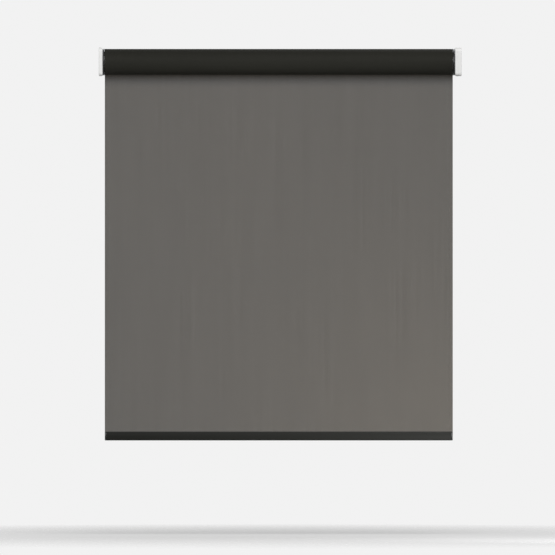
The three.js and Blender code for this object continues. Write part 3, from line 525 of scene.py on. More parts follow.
def shrink_sleeve(name):
    """Thin blue film, drawn tight, with faint wrinkles round the cell."""
    finish = Finish(name)
    place = finish.place()
    wrinkles = finish.noise(finish.scaled(place, (700, 120, 120)), 1.0, 3)
    return finish.done(
        finish.surface(
            Base_Color=finish.colours(wrinkles, (0.022, 0.115, 0.31), (0.035, 0.165, 0.41)),
            Roughness=0.26 + 0.2 * wrinkles,
            Normal=finish.bump(wrinkles, 0.05 * MM, 0.35),
        )
    )


def clear_pipe(name):
    """Clear plastic that spreads the small light behind it."""
    finish = Finish(name)
    haze = finish.noise(finish.place(), 900, 2)
    return finish.done(
        finish.surface(
            Base_Color=finish.colours(haze, (0.86, 0.88, 0.84), (0.94, 0.95, 0.92)),
            Roughness=0.12 + 0.12 * haze,
            Coat_Weight=0.4,
            Subsurface_Weight=0.2,
        )
    )


FINISHES = {
    "white_plastic": white_finish,
    "black_plastic": black_finish,
    "pale_nylon": nylon_finish,
    "zinc_steel": zinc_finish,
    "bright_steel": steel_finish,
    "mill_aluminium": aluminium_finish,
    "dark_bar": bar_finish,
    "screen_cloth": hanging_cloth_finish,
    "rubber": rubber_finish,
    "circuit_board": circuit_board("circuit_board"),
    "cell_sleeve": shrink_sleeve("cell_sleeve"),
    "bronze": bronze_finish,
    "clear_lens": clear_pipe("clear_lens"),
}
bodies = frame["record"]["behaviour"]["bodies"]
slot_of = {part["node"]: part["material_slot"] for part in frame["record"]["subparts"]}
body_of = {node: body for body, nodes in bodies.items() for node in nodes}
for node, slot in slot_of.items():
    frame["nodes"][node].data.materials.clear()
    frame["nodes"][node].data.materials.append(FINISHES[slot])
print(len(slot_of), "pieces have a finish")


def stand_for(piece, node, finish=None):
    """Gives a piece its finish and its body, and hides the plain solid it stands for."""
    piece.data.materials.clear()
    piece.data.materials.append(finish or FINISHES[slot_of[node]])
    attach(piece, body_of[node])
    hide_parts(node)
    return piece


def limits(node):
    """A solid's lowest and highest corners as arrays, in metres."""
    low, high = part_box(node)
    return np.array(low), np.array(high)


def spot(node):
    """The middle of a solid's box."""
    low, high = limits(node)
    return (low + high) / 2


def travel_of(name):
    """How far a sliding joint goes, in metres."""
    return next(joint for joint in frame["joints"] if joint["name"] == name)["range_m"][1]


# %% [markdown]
# Cloth on a roller is one long spiral. Drawing it as that spiral, and not as a plain ring, shows
# its layers at the ends of the roll, where they never line up exactly. The strip has a
# rectangular section, and it is carried round the tube while its radius grows by one thickness
# a turn. The outermost turn is a closed ring of the same cloth, so the roll looks the same
# whichever way it has been turned, and the hanging cloth leaves it at the back.

# %% Wound cloth
sheet_low, sheet_high = limits("fabric_sheet")
THICKNESS = sheet_high[1] - sheet_low[1]
OUTER = sheet_high[1]
tube_radius = limits("roller_tube")[1][1]
cloth_x = np.array([sheet_low[0], sheet_high[0]])
LAYER_STEPS = 72
SLACK = 0.03 * MM
WANDER = 0.11 * MM, 0.07 * MM
spiral_inner, spiral_outer = tube_radius + SLACK, OUTER - THICKNESS - SLACK
turns = (spiral_outer - THICKNESS - spiral_inner) / THICKNESS


def strip(radius, angle, wander, wrap):
    """A strip of cloth round the X axis: inner radius and end wander given at each angle."""
    inner, outer = radius, radius + THICKNESS - SLACK
    r = np.stack([inner, inner, outer, outer], 1)
    x = wander[:, None] + cloth_x[[0, 1, 1, 0]]
    points = np.stack([x, r * np.cos(angle)[:, None], r * np.sin(angle)[:, None]], -1)
    faces = grid_faces(len(angle), 4, wrap_rows=wrap)
    ends = [] if wrap else [np.array([[3, 2, 1, 0], np.arange(4) + 4 * (len(angle) - 1)])]
    return points.reshape(-1, 3), [faces, *ends]


angle = np.linspace(0, -2 * np.pi * turns, round(turns * LAYER_STEPS))
wander = WANDER[0] * np.sin(0.83 * angle) + WANDER[1] * np.sin(0.29 * angle + 1)
spiral_radius = spiral_outer - THICKNESS + THICKNESS * angle / (2 * np.pi)
spiral, spiral_faces = strip(spiral_radius, angle, wander, False)
ring_angle = np.linspace(0, 2 * np.pi, 2 * LAYER_STEPS, endpoint=False)
ring_radius = np.full(len(ring_angle), OUTER - THICKNESS)
ring, ring_faces = strip(ring_radius, ring_angle, np.zeros(len(ring_angle)), True)
all_faces = spiral_faces + [faces + len(spiral) for faces in ring_faces]
wound_cloth = new_mesh("wound_cloth", np.concatenate([spiral, ring]), all_faces)


def map_in_metres(piece):
    """Gives each face corner its place along the roll and its way round it, both in metres."""
    mesh = piece.data
    place = np.zeros(3 * len(mesh.vertices), np.float32)
    mesh.vertices.foreach_get("co", place)
    place = place.reshape(-1, 3)
    corner = np.zeros(len(mesh.loops), np.int32)
    mesh.loops.foreach_get("vertex_index", corner)
    first = np.zeros(len(mesh.polygons), np.int32)
    mesh.polygons.foreach_get("loop_start", first)
    count = np.diff(np.append(first, len(corner)))
    way = np.arctan2(place[:, 2], place[:, 1])
    lead = np.repeat(way[corner[first]], count)
    step = (way[corner] - lead + np.pi) % (2 * np.pi) - np.pi
    coordinates = np.column_stack([place[corner, 0], OUTER * (lead + step)])
    layer = mesh.uv_layers.new(name="cloth")
    layer.data.foreach_set("uv", coordinates.astype(np.float32).ravel())


map_in_metres(wound_cloth)
soften(wound_cloth, 0, 30)
stand_for(wound_cloth, "fabric_roll", wound_cloth_finish)
mean_radius = (spiral_outer + spiral_inner) / 2
wound_length = float(np.sum(np.abs(np.diff(angle)) * mean_radius)) + 2 * np.pi * OUTER
width = float(cloth_x[1] - cloth_x[0])
print(f"{turns + 1:.1f} turns hold {wound_length:.2f} m of cloth, {width / MM:.1f} mm wide")

# %% [markdown]
# The hanging cloth is held by the roll at its top and by the bar's weight at its foot, and lies
# almost flat between them. Its cut edges cup back a little, and slow, shallow waves cross it.
# All of that fades to nothing at the top and the foot, where it is held. It leaves the roll at
# a tangent, so its first few millimetres are a wedge between the roll and its own flat face.

# %% Hanging cloth
ROWS, COLUMNS = 120, 110
CUP, CUP_WIDTH = 1.6 * MM, 15 * MM
WAVE = 0.35 * MM
LONG_WAVE, SHORT_WAVE = 0.31, 0.173


def sheet_offset(x, z):
    """How far the cloth stands back from its plane: cupped edges plus two crossing waves."""
    height = (sheet_high[2] - z) / (sheet_high[2] - sheet_low[2])
    held = np.sin(np.pi * np.clip(height, 0, 1)) ** 0.8
    from_edge = np.minimum(x - cloth_x[0], cloth_x[1] - x)
    cup = CUP * np.exp(-from_edge / CUP_WIDTH)
    long_wave = np.sin(2 * np.pi * x / LONG_WAVE + 3.1 * height)
    short_wave = np.sin(2 * np.pi * x / SHORT_WAVE - 5 * height)
    return held * (cup + WAVE * (long_wave + 0.6 * short_wave))


CLEAR_OF_ROLL = 0.02 * MM
WEDGE_ROWS, WEDGE_TOP = 8, -0.3 * MM
leaving = -float(np.sqrt(OUTER**2 - (OUTER - THICKNESS) ** 2))
x = np.linspace(*cloth_x, COLUMNS)[None, :]
wedge_z = np.linspace(WEDGE_TOP, leaving, WEDGE_ROWS)
z = np.concatenate([wedge_z, np.linspace(leaving, sheet_low[2], ROWS)[1:]])
x, z = np.broadcast_arrays(x, z[:, None])
middle = (sheet_low[1] + sheet_high[1]) / 2 + sheet_offset(x, z)
half = THICKNESS / 2
roll_back = np.sqrt(OUTER**2 - np.clip(z, leaving, 0) ** 2)
front_y = np.where(z > leaving, np.minimum(roll_back, OUTER), middle - half)
front = np.stack([x, front_y + CLEAR_OF_ROLL, z], -1)
back = np.stack([x, middle + half + CLEAR_OF_ROLL, z], -1)[:, ::-1]
hanging_cloth = loft("hanging_cloth", np.concatenate([front, back], 1))
soften(hanging_cloth, 0, 50)
stand_for(hanging_cloth, "fabric_sheet", hanging_cloth_finish)
bar_low, bar_high = limits("bottom_bar")
hangs = leaving - float(bar_high[2])
keep = (hangs - travel_of("bar_lift")) / hangs
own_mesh(hanging_cloth)

# %% [markdown]
# The bottom bar is an extrusion: one outline, the same all the way along. Its top edge is a
# rounded bead, which is the only part of it that catches much light, with a shallow groove
# below it, and its mouth takes the hem of the cloth. Both faces are slightly crowned, so that
# the light runs off towards their edges. A hollow runs along its lower half, where the tongues
# of the end caps sit.

# %% Bottom bar
BEAD = 1.5 * MM
GROOVE = 0.45 * MM
HEM_SLOT, HEM_LIP, HEM_ROOM = 1.8 * MM, 2.2 * MM, 5.4 * MM
BAR_WALL = 1.5 * MM
CROWN = 1.1 * MM
bar_middle = (bar_low[1] + bar_high[1]) / 2
bar_half = (bar_high[1] - bar_low[1]) / 2
top, foot = bar_high[2], bar_low[2]


def bar_outline(mouth=True):
    """Half of the outline in Y and Z from the mouth down, then its mirror image back up."""
    slot, room, lip = HEM_SLOT / 2, HEM_ROOM / 2, top - HEM_LIP
    inside = [(slot, lip), (room, lip), (room, lip - HEM_ROOM)]
    inside_radius = [0.2, 0.2, 0.3]
    bead = [
        (slot, top),
        (bar_half, top),
        (bar_half, top - 2 * BEAD),
        (bar_half - GROOVE, top - 2 * BEAD - GROOVE),
        (bar_half - GROOVE, top - 2 * BEAD - 2 * GROOVE),
        (bar_half, top - 2 * BEAD - 3 * GROOVE),
        *((bar_half, z) for z in np.linspace(top, foot, 9)[3:-1]),
        (bar_half, foot),
    ]
    bead_radius = [0.3, 1.2, 0.5, 0.2, 0.2, 0.4, *[0.8] * 5, 1.6]
    corners = inside[::-1] + bead if mouth else bead[1:]
    radii = inside_radius[::-1] + bead_radius if mouth else bead_radius[1:]
    right = np.array(corners)
    both = np.concatenate([right, right[::-1] * (-1, 1)])
    outline = round_corners(both, np.array(radii + radii[::-1]) * MM)
    from_middle = (outline[:, 1] - (top + foot) / 2) / ((top - foot) / 2)
    outline[:, 0] *= 1 - CROWN / bar_half * from_middle**2 * (np.abs(outline[:, 0]) > room)
    return outline + (bar_middle, 0)


def extruded(name, outline, start, end, break_width):
    """An outline carried along X, drawn in slightly at both ends."""
    centre = outline.mean(0)
    inward = centre + (outline - centre) * (1 - break_width / bar_half)
    shapes = [inward, outline, outline, inward]
    places = [start, start + break_width, end - break_width, end]
    return loft(name, np.array([along_x(*pair) for pair in zip(shapes, places)]))


bottom_bar = extruded("bar_extrusion", bar_outline(), bar_low[0], bar_high[0], 0.05 * MM)
hollow_top = top - HEM_LIP - HEM_ROOM - BAR_WALL
hollow = block_drill(
    (bar_low[0] - MM, bar_low[1] + BAR_WALL, foot + BAR_WALL),
    (bar_high[0] + MM, bar_high[1] - BAR_WALL, hollow_top),
)
drill(bottom_bar, hollow)
soften(bottom_bar, 0, 35)
stand_for(bottom_bar, "bottom_bar")
print(f"the bar is {2 * bar_half / MM:.1f} mm thick and {(top - foot) / MM:.1f} mm tall")

# %% [markdown]
# The caps are moulded to the same outline and stand a hair's breadth proud at their rim. Their
# outer faces are slightly domed, as pressed-in caps are, and a slot lets the edge of the cloth
# through.


# %% Bar caps
CAP_PLATE = 2 * MM
CAP_DOME = 0.9 * MM
CAP_SLOT_PAST_LIP = 1.8 * MM
TONGUE_ROOM = 0.3 * MM
TONGUE_CORNER = 0.6 * MM
SUNK = 0.2 * MM


def bar_cap(side):
    """A plate over the bar's end, rounded on its outer face, and the tongue that grips inside."""
    node = "bar_cap_" + side
    low, high = limits(node)
    way = -1 if side == "left" else 1
    face = low[0] if way < 0 else high[0]
    outline = bar_outline(mouth=False)
    centre = outline.mean(0)
    turn = np.linspace(np.pi / 2, 0, 7)
    shrink = 1 - CAP_DOME * (1 - np.cos(turn)) / bar_half
    depth = CAP_DOME * (1 - np.sin(turn))
    rim = [along_x(centre + (outline - centre) * s, face - way * d) for s, d in zip(shrink, depth)]
    inner = face - way * CAP_PLATE
    cap = loft(node + "_moulding", np.array([*rim, along_x(outline, inner)]))
    slot, slot_floor = HEM_SLOT / 2, top - HEM_LIP - CAP_SLOT_PAST_LIP
    mouth = block_drill(
        (min(face, inner) - MM, bar_middle - slot, slot_floor),
        (max(face, inner) + MM, bar_middle + slot, top + MM),
    )
    drill(cap, mouth)
    tongue_end = high[0] if way < 0 else low[0]
    reach = sorted([inner + way * SUNK, tongue_end])
    inside = TONGUE_ROOM + BAR_WALL
    tongue_low = (bar_low[1] + inside, foot + inside)
    tongue_high = (bar_high[1] - inside, hollow_top - TONGUE_ROOM)
    tongue = rounded_rectangle(tongue_low, tongue_high, TONGUE_CORNER, 0, 5)
    grip = loft("grip", np.array([along_x(tongue, place) for place in reach]))
    with_tongue = bmesh.new()
    with_tongue.from_mesh(cap.data)
    with_tongue.from_mesh(grip.data)
    with_tongue.to_mesh(cap.data)
    with_tongue.free()
    bpy.data.objects.remove(grip)
    return stand_for(soften(cap, 0.15 * MM), node)


for side in ("left", "right"):
    bar_cap(side)
print("two caps moulded")

# %% [markdown]
# The bracket covers are shallow white mouldings, about as deep as a thumb is wide, open at the
# back and on the side against the bracket. A generous round runs along the edge that faces the
# roll. Each starts as a solid block with that round on it, and a smaller block of the same kind
# hollows it out, so that the wall is even everywhere. The right cover has a fine groove round
# it, where the part that hides the motor's head begins, and three openings underneath.

# %% Bracket covers
COVER_WALL = 1.5 * MM
COVER_CORNER = 7 * MM
COVER_ROUND = 3.6 * MM
PARTING_X, PARTING = 6.1 * MM, 0.35 * MM
PARTING_SHAPE = ((1.3, 0), (0.6, 1), (-0.6, 1), (-1.3, 0))
CLEAR = 0.3 * MM
BUTTON_RADIUS = 2.5 * MM
REACH = 20 * MM


def cover_block(low, high, way, inset, extra, parting=None):
    """A block with a rounded edge towards the roll: loops drawn in along a quarter circle."""
    rim, inner = (low[0], high[0]) if way < 0 else (high[0], low[0])
    inner += way * inset
    radius = COVER_ROUND - inset
    turn = np.linspace(0, np.pi / 2, 9)
    stations = [(rim + way * extra, inset)]
    if parting:
        for shift, deep in PARTING_SHAPE:
            stations.append((inner + way * (parting + shift * PARTING), inset + deep * PARTING))
    for t in turn:
        place = inner + way * radius * (1 - math.sin(t))
        stations.append((place, inset + radius * (1 - math.cos(t))))
    corners = low[1:], high[1:] + (COVER_CORNER + 2 * MM, 0)
    loops = [along_x(rounded_rectangle(*corners, COVER_CORNER, d), x) for x, d in stations]
    return loft("cover", np.array(loops))


def bracket_cover(side):
    """The solid block, and what hollows it, squares off its back and opens it."""
    node = "cover_" + side
    low, high = limits(node)
    way = -1 if side == "left" else 1
    piece = cover_block(low, high, way, 0, 0, PARTING_X if way > 0 else None)
    piece.name = node + "_moulding"
    behind_low, behind_high = low - REACH, high + REACH
    behind_low[1] = high[1]
    tools = [cover_block(low, high, way, COVER_WALL, 2 * MM), block_drill(behind_low, behind_high)]
    inner = high[0] if way < 0 else low[0]
    if way < 0:
        pin = limits("idle_pin")[1][2]
        tools.append(rod_drill(pin, (inner, 0, 0), 0, 4 * COVER_WALL))
        return piece, tools
    casing = limits("motor_casing")[1][1]
    tools.append(rod_drill(casing + 2 * CLEAR, (inner, 0, 0), 0, 4 * COVER_WALL, 72))
    for name in ("control_button", "status_lens"):
        box_low, box_high = limits(name)
        centre = spot(name)
        radius = BUTTON_RADIUS if name == "control_button" else (box_high[0] - box_low[0]) / 2
        centre[2] = low[2]
        tools.append(rod_drill(radius + CLEAR, centre, 2, 4 * COVER_WALL, 32))
    flap_low, flap_high = limits("charge_cover")
    margin = np.array([CLEAR, CLEAR, 2 * MM])
    flap_high[2] = low[2]
    tools.append(block_drill(flap_low - margin, flap_high + margin))
    return piece, tools


for side in ("left", "right"):
    cover, tools = bracket_cover(side)
    drill(cover, *tools)
    stand_for(soften(cover, 0.22 * MM, 32), "cover_" + side)
    print("cover", side, "has", len(cover.data.polygons), "faces")

# %% [markdown]
# A bracket is one strip of steel bent through a right angle. The strip's section is a thin
# rectangle, carried along a path with an arc in it, and the rectangle gets shorter near the
# ends, which rounds the strip's corners. Its screw holes are drilled afterwards.

# %% Brackets
BEND = 3 * MM
PLATE = 2 * MM
FREE_CORNER = 5.5 * MM
SIDE_HOLE_Y = 26 * MM
SCREW_HOLE, ADAPTER_HOLE, HEAD_HOLE = 2.3 * MM, 1.9 * MM, 10.5 * MM
SPIGOT = 6 * MM
NOWHERE_NEAR = 1.0


def shortened(distance, full):
    """Half of the strip's height near an end: full, less what a round corner takes off."""
    into = np.clip(FREE_CORNER - distance, 0, FREE_CORNER)
    return full - FREE_CORNER + np.sqrt(FREE_CORNER**2 - into**2)


def bracket(side):
    """The bent strip, from the front of the side plate to the free edge of the foot."""
    node = "bracket_" + side
    low, high = limits(node)
    way = -1 if side == "left" else 1
    face, end = (low[0], high[0]) if way < 0 else (high[0], low[0])
    fine = FREE_CORNER * (1 - np.cos(np.linspace(0, np.pi / 2, 9)))
    y = np.concatenate([low[1] + fine, [high[1] - BEND - 0.01 * MM]])
    turn = np.linspace(0, np.pi / 2, 8)
    x_foot = np.abs(end - face) - fine[::-1]
    flat_x, flat_y = np.zeros_like(y), y
    bend_x, bend_y = BEND * (1 - np.cos(turn)), high[1] - BEND * (1 - np.sin(turn))
    outer_x = np.concatenate([flat_x, bend_x, x_foot])
    outer_y = np.concatenate([flat_y, bend_y, np.full(len(x_foot), high[1])])
    scale = (BEND - PLATE) / BEND
    centre = np.array([BEND, high[1] - BEND])
    inner_bend_x = centre[0] + (bend_x - centre[0]) * scale
    inner_bend_y = centre[1] + (bend_y - centre[1]) * scale
    inner_x = np.concatenate([flat_x + PLATE, inner_bend_x, x_foot])
    inner_y = np.concatenate([flat_y, inner_bend_y, np.full(len(x_foot), high[1] - PLATE)])
    on_bend = np.full(len(turn), NOWHERE_NEAR)
    half = shortened(np.concatenate([y - low[1], on_bend, x_foot[-1] - x_foot]), high[2])
    xs = face - way * np.stack([outer_x, outer_x, inner_x, inner_x], 1)
    ys = np.stack([outer_y, outer_y, inner_y, inner_y], 1)
    zs = np.stack([-half, half, half, -half], 1)
    piece = loft(node + "_bent", np.stack([xs, ys, zs], -1))
    tools = []
    for level in ("upper", "lower"):
        screw_low, screw_high = limits(f"fixing_screw_{side}_{level}")
        centre = (screw_low + screw_high) / 2
        tools.append(rod_drill(SCREW_HOLE, (centre[0], high[1], centre[2]), 1, 4 * PLATE, 28))
        tools.append(rod_drill(SCREW_HOLE, (face, SIDE_HOLE_Y, centre[2]), 0, 4 * PLATE, 28))
    return piece, tools, face


left_bracket, tools, face = bracket("left")
tools.append(rod_drill(SPIGOT + CLEAR, (face, 0, 0), 0, 4 * PLATE, 40))
stand_for(soften(drill(left_bracket, *tools), 0.2 * MM), "bracket_left")

right_bracket, tools, face = bracket("right")
tools.append(rod_drill(HEAD_HOLE, (face, 0, 0), 0, 4 * PLATE, 48))
for name in ("adapter_screw_front", "adapter_screw_rear"):
    centre = spot(name)
    tools.append(rod_drill(ADAPTER_HOLE, (face, *centre[1:]), 0, 4 * PLATE, 24))
stand_for(soften(drill(right_bracket, *tools), 0.2 * MM), "bracket_right")
print("brackets bent and drilled")

# %% [markdown]
# A wood screw's thread is a ridge that climbs one pitch a turn. On a grid of places along the
# screw and angles round it, the radius is the core plus a ridge wherever the place, less the
# angle's share of a pitch, lands near a whole number of pitches. Both fade out at the point.

# %% Fixing screws
PITCH = 1.9 * MM
CORE, CREST = 1.35 * MM, 2.0 * MM
HEAD, HEAD_RADIUS, HEAD_DOME = 2.6 * MM, 4 * MM, 0.55
NECK, RUN_IN, POINT = 1.2 * MM, 1.6 * MM, 5 * MM
RECESS_ARM, RECESS_REACH = 0.5 * MM, 2.2 * MM
RECESS_SHAPE = ((-1.0, 1.12), (0.4, 1.0), (1.5, 0.62))
ALONG, AROUND_SCREW = 150, 26


def thread_radius(along, angle, start, end):
    """Core plus a sharp ridge: the ridge's height falls off as the 1.6th power of the phase."""
    phase = (along / PITCH - angle / (2 * np.pi)) % 1
    ridge = (1 - np.abs(2 * phase - 1)) ** 1.6
    to_point = np.clip((end - along) / POINT, 0, 1)
    run_in = np.clip((along - start) / PITCH, 0, 1)
    return (CORE + (CREST - CORE) * ridge * run_in) * to_point**0.7


def cross_drill(centre, face):
    """A four-armed recess that narrows as it goes in: one outline, scaled at each depth."""
    arm, reach = RECESS_ARM, RECESS_REACH
    quarter = np.array([reach - 1j * arm, reach + 1j * arm, arm + 1j * arm])
    outline = (1j ** np.arange(4)[:, None] * quarter).ravel()
    deep, scale = np.array(RECESS_SHAPE).T[:, :, None]
    x, z = centre[0] + scale * outline.real, centre[2] + scale * outline.imag
    y = np.broadcast_to(face + deep * MM, x.shape)
    return loft("drill", np.stack([x, y, z], -1))


def wood_screw(name, node):
    """A domed head, a plain neck and a threaded shank, all one grid turned about Y."""
    low, high = limits(node)
    centre = spot(node)
    length, start = high[1] - low[1], HEAD + RUN_IN
    dome = np.linspace(0.02, np.pi / 2, 9)
    head_along = np.append(HEAD * HEAD_DOME * (1 - np.cos(dome)), [HEAD, HEAD, HEAD + NECK])
    head_radius = np.append(HEAD_RADIUS * np.sin(dome), [HEAD_RADIUS, CREST, CREST])
    shank = np.linspace(start, length - 0.05 * MM, ALONG)[:, None]
    angle = np.linspace(0, 2 * np.pi, AROUND_SCREW, endpoint=False)
    smooth = np.repeat(head_radius[:, None], AROUND_SCREW, 1)
    radius = np.concatenate([smooth, thread_radius(shank, angle, start, length)])
    x = centre[0] + radius * np.sin(angle)
    z = centre[2] + radius * np.cos(angle)
    along = np.append(head_along, shank)[:, None]
    y = np.broadcast_to(low[1] + along, x.shape)
    piece = loft(name, np.stack([x, y, z], -1))
    return stand_for(soften(drill(piece, cross_drill(centre, low[1])), 0, 34), node)


for side in ("left", "right"):
    for level in ("upper", "lower"):
        node = f"fixing_screw_{side}_{level}"
        wood_screw(node + "_threaded", node)
print("four screws threaded")

# %% [markdown]
# A compression spring is a tube of wire along a helix. Its end coils lie flat against each
# other, so the helix climbs slowly at both ends and evenly between them. The wire's section is
# a ring of points in the plane across the path, spanned by the outward radius and by the cross
# product of that radius with the path's direction.


# %% Springs
DEAD_TURNS = 0.9
STEPS_A_TURN, WIRE_SIDES = 22, 10


def wire_spring(node, axis, turns, wire, joint):
    """A spring in the box of its plain solid."""
    low, high = limits(node)
    one, other = (axis + 1) % 3, (axis + 2) % 3
    radius = (high - low)[one] / 2 - wire
    length = (high - low)[axis] - 2 * wire
    done = np.linspace(0, turns, round(turns * STEPS_A_TURN))
    climb = np.clip((done - DEAD_TURNS) / (turns - 2 * DEAD_TURNS), 0, 1)
    ends = np.minimum(done, DEAD_TURNS) + np.clip(done - turns + DEAD_TURNS, 0, DEAD_TURNS)
    outward = np.zeros((len(done), 3))
    outward[:, one], outward[:, other] = np.cos(2 * np.pi * done), np.sin(2 * np.pi * done)
    path = spot(node) + radius * outward
    path[:, axis] = low[axis] + wire + ends * 2 * wire + climb * (length - 4 * wire * DEAD_TURNS)
    sideways = np.cross(np.gradient(path, axis=0), outward)
    sideways /= np.linalg.norm(sideways, axis=1, keepdims=True)
    ring = np.linspace(0, 2 * np.pi, WIRE_SIDES, endpoint=False)[None, :, None]
    section = np.cos(ring) * outward[:, None] + np.sin(ring) * sideways[:, None]
    piece = loft(node + "_wire", path[:, None] + wire * section)
    stand_for(soften(piece, 0, 60), node)
    anchor = spot(node)
    anchor[axis] = high[axis]
    keep = float(1 - travel_of(joint) / (high - low)[axis])
    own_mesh(piece)


wire_spring("idle_spring", 0, 7, 0.5 * MM, "pin_slide")
wire_spring("button_spring", 2, 3, 0.2 * MM, "button_press")
print("two springs wound")

# %% [markdown]
# The button and the light pipe are small but they are what a hand and an eye go to. The button
# has a shallow dish for a fingertip, and the light pipe ends in a low dome.

# %% Button and light pipe
DISH, DISH_RADIUS = 0.35 * MM, 2.0 * MM
COLLAR = 1.2 * MM
button_low, button_high = limits("control_button")
collar_radius = (button_high[0] - button_low[0]) / 2
dish = np.linspace(0, 1, 6)
profile = [(button_low[2] + DISH * (1 - t**2), DISH_RADIUS * t + 1e-6) for t in dish]
profile += [
    (button_low[2] + 0.10 * MM, 2.35 * MM),
    (button_low[2] + 0.40 * MM, BUTTON_RADIUS),
    (button_high[2] - COLLAR, BUTTON_RADIUS),
    (button_high[2] - COLLAR, collar_radius),
    (button_high[2], collar_radius),
]
button = turned("button_cap", profile, (*spot("control_button")[:2], 0), 2, 40)
stand_for(soften(button, 0, 34), "control_button")

lens_low, lens_high = limits("status_lens")
lens_radius = (lens_high[0] - lens_low[0]) / 2
dome = np.linspace(0.02, np.pi / 2, 8)
profile = [(lens_low[2] - 0.2 * MM * math.cos(t), lens_radius * math.sin(t)) for t in dome]
profile += [(lens_high[2], lens_radius)]
lens = turned("light_pipe", profile, (*spot("status_lens")[:2], 0), 2, 28)
stand_for(soften(lens, 0, 34), "status_lens")
print(f"the button is {2 * BUTTON_RADIUS / MM:.1f} mm across")

# %% [markdown]
# The other pieces have the right shape already, and only want their edges broken and their
# round faces smoothed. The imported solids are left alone: each is copied, its loose triangles
# are joined and its flat faces made whole, and the copy gets a small round, listed here in
# millimetres. Gears and small screws are too fine for one, so theirs is nothing.

# %% Broken edges on the other pieces
EDGES = {
    0.35: ["idle_plug", "crown_ring", "drive_wheel"],
    0.25: ["pin_seat", "motor_head", "charge_cover", "motor_adapter", "cell_cradle", "casing_nose"],
    0.15: ["idle_pin", "idle_core", "spring_cap", "bar_spline", "fabric_spline", "motor_damper"],
    0.12: ["roller_tube", "motor_casing", "first_reducer", "gear_case", "dc_motor", "idle_bearing"],
    0.08: ["charge_socket", "button_switch", "output_bearing", "control_board"],
    0: ["drive_screw", "sun_gear", "planet_carrier"],
}
EDGES[0] += [f"{fixed}_screw_{end}" for fixed in ("adapter", "casing") for end in ("front", "rear")]
EDGES[0] += [f"planet_gear_{i}" for i in (1, 2, 3)]
CELLS = [f"battery_cell_{i}" for i in (1, 2, 3)]
EDGES[0.12] += CELLS


def finished_copy(node, width):
    """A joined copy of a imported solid, with whole flat faces and broken edges."""
    source = frame["nodes"][node]
    piece = bpy.data.objects.new(node + "_finished", source.data.copy())
    bpy.context.scene.collection.objects.link(piece)
    work = bmesh.new()
    work.from_mesh(piece.data)
    bmesh.ops.remove_doubles(work, verts=work.verts, dist=2e-6)
    bmesh.ops.dissolve_limit(work, angle_limit=math.radians(1), verts=work.verts, edges=work.edges)
    work.to_mesh(piece.data)
    work.free()
    return stand_for(soften(piece, width * MM, 40), node)


copies = {node: finished_copy(node, width) for width, nodes in EDGES.items() for node in nodes}
print(len(copies), "copies finished")

# %% [markdown]
# Two of them are made of more than one stuff: the board carries black chips on its green
# lacquer, and each cell's terminal is bare steel. A second finish goes on the faces that lie
# past the board's surface, or past the end of the film.


# %% Chips and terminals
def second_finish(node, finish, axis, limit):
    """Puts another finish on the faces whose middle lies past a limit along one axis."""
    mesh = copies[node].data
    middles = np.zeros(3 * len(mesh.polygons), np.float32)
    mesh.polygons.foreach_get("center", middles)
    past = middles.reshape(-1, 3)[:, axis] > limit
    mesh.materials.append(finish)
    mesh.polygons.foreach_set("material_index", past.astype(np.int32))
    mesh.update()


BOARD, TERMINAL = 1.6 * MM, 1.5 * MM
PAST = 0.05 * MM
second_finish("control_board", black_finish, 2, BOARD / 2 + PAST)
for cell in CELLS:
    second_finish(cell, steel_finish, 0, limits(cell)[1][0] - TERMINAL + PAST)
print("chips on the board, and", len(CELLS), "bare terminals")

# %% [markdown]
# The set is as plain as can be: a pale floor that fades into an even backdrop, so that no edge
# of it crosses the picture. The floor shows from above only, so the blind can also be looked
# at from below. The backdrop is brighter to the camera than to the blind, because the blind's
# dark cloth would otherwise look grey.

# %% Floor
FLOOR_DEPTH, FLOOR_HALF = 0.21, 3
FADE_FROM, FADE_OVER = 0.6, 1.2
floor_z = cad_box[0][2] - FLOOR_DEPTH
corners = FLOOR_HALF * np.array([(-1, -1), (1, -1), (1, 1), (-1, 1)], float)
floor_mesh = bpy.data.meshes.new("floor")
floor_mesh.from_pydata([(x, y, floor_z) for x, y in corners], [], [(0, 1, 2, 3)])
floor = bpy.data.objects.new("floor", floor_mesh)
bpy.context.scene.collection.objects.link(floor)
paint = Finish("floor")
away = paint.node("VectorMath", {"operation": "LENGTH"}, {0: paint.place()}, output=1)
faded = ((away - FADE_FROM) / FADE_OVER).at_least(0).at_most(1)
speckle = paint.noise(paint.place(), 220, 2)
matt = paint.surface(
    Base_Color=paint.colours(speckle, (0.70, 0.70, 0.70), (0.74, 0.74, 0.74)),
    Roughness=0.75 + 0.1 * speckle,
    Specular_IOR_Level=0.1,
)
clear = paint.node("BsdfTransparent")
faded = faded.at_least(paint.node("NewGeometry", output="Backfacing"))
fading = paint.node("MixShader", inputs={0: faded, 1: matt, 2: clear})
floor.data.materials.append(paint.done(fading))
floor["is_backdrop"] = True
print("the floor is", round(floor_z, 3), "m from the roller's axis")

# %% Backdrop light
BACKDROP = 0.887
AROUND = 0.33
world = bpy.data.worlds.new("studio")
world.use_nodes = True
backdrop = world.node_tree.nodes["Background"]
backdrop.inputs["Color"].default_value = (1, 1, 1, 1)
seen = world.node_tree.nodes.new("ShaderNodeLightPath")
level = world.node_tree.nodes.new("ShaderNodeMapRange")
level.inputs["To Min"].default_value = AROUND
level.inputs["To Max"].default_value = BACKDROP
world.node_tree.links.new(seen.outputs["Is Camera Ray"], level.inputs["Value"])
world.node_tree.links.new(level.outputs["Result"], backdrop.inputs["Strength"])
bpy.context.scene.world = world

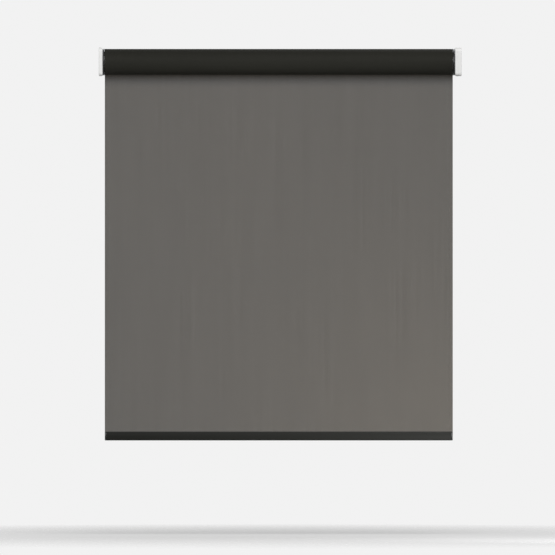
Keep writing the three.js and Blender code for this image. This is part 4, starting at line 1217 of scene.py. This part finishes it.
# %% [markdown]
# Four lamps light it: a broad key in front and well above, so that the top of the roll is
# brighter than its foot, a weaker one on the left, a small low one on the right that picks
# out the bar, and a strip behind that draws the outline of the white covers.


# %% Lamps
def soft_light(name, place, aim, size, power, spread=180):
    """A rectangular lamp that looks from its place towards a point."""
    lamp = bpy.data.lights.new(name, "AREA")
    lamp.shape, lamp.size, lamp.size_y, lamp.energy = "RECTANGLE", size[0], size[1], power
    lamp.spread = math.radians(spread)
    holder = bpy.data.objects.new(name, lamp)
    bpy.context.scene.collection.objects.link(holder)
    holder.location = place
    holder.rotation_euler = (Vector(aim) - Vector(place)).to_track_quat("-Z", "Y").to_euler()


blind_middle = (0, 0, -0.35)
soft_light("key", (0.2, -1.8, 1.05), (0, 0, -0.2), (1.4, 0.5), 33)
soft_light("fill", (-1.0, -2.4, 0.1), blind_middle, (1.2, 1.2), 8)
soft_light("low", (0.9, -0.9, -0.98), (0.2, 0, -0.83), (0.4, 0.3), 4, spread=80)
soft_light("rim", (0.5, 1.2, 1.1), (0, 0, 0), (1.4, 0.3), 4)
print("four lamps")

# %% [markdown]
# The camera looks straight at the blind from thirty metres through a long lens, level with its
# middle. From so far away the sides of the covers are barely seen, as in a measured elevation.

# %% Camera
FAR = 30.0
WIDTH_IN_VIEW = 1.2250
VIEW_CENTRE = (-0.0060, -0.4760)
SENSOR = 36
camera_data = bpy.data.cameras.new("camera")
camera_data.sensor_width = SENSOR
camera_data.lens = SENSOR * FAR / WIDTH_IN_VIEW
camera = bpy.data.objects.new("camera", camera_data)
bpy.context.scene.collection.objects.link(camera)
camera.location = (VIEW_CENTRE[0], -FAR, VIEW_CENTRE[1])
camera.rotation_euler = (math.pi / 2, 0, 0)
bpy.context.scene.camera = camera
bpy.context.scene.view_settings.view_transform = "Standard"
bpy.context.scene.view_settings.look = "None"
print("lens", round(camera_data.lens, 1), "mm")

# %% [markdown]
# Last, the box of the finished model is written beside the imported one's, so that the two can be
# compared: a finish may add detail, but no size.

# %% The finished model's box
visual_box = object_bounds()
sides = [round(side / MM, 1) for side in visual_box[1] - visual_box[0]]
print("the finished model is", sides, "mm")
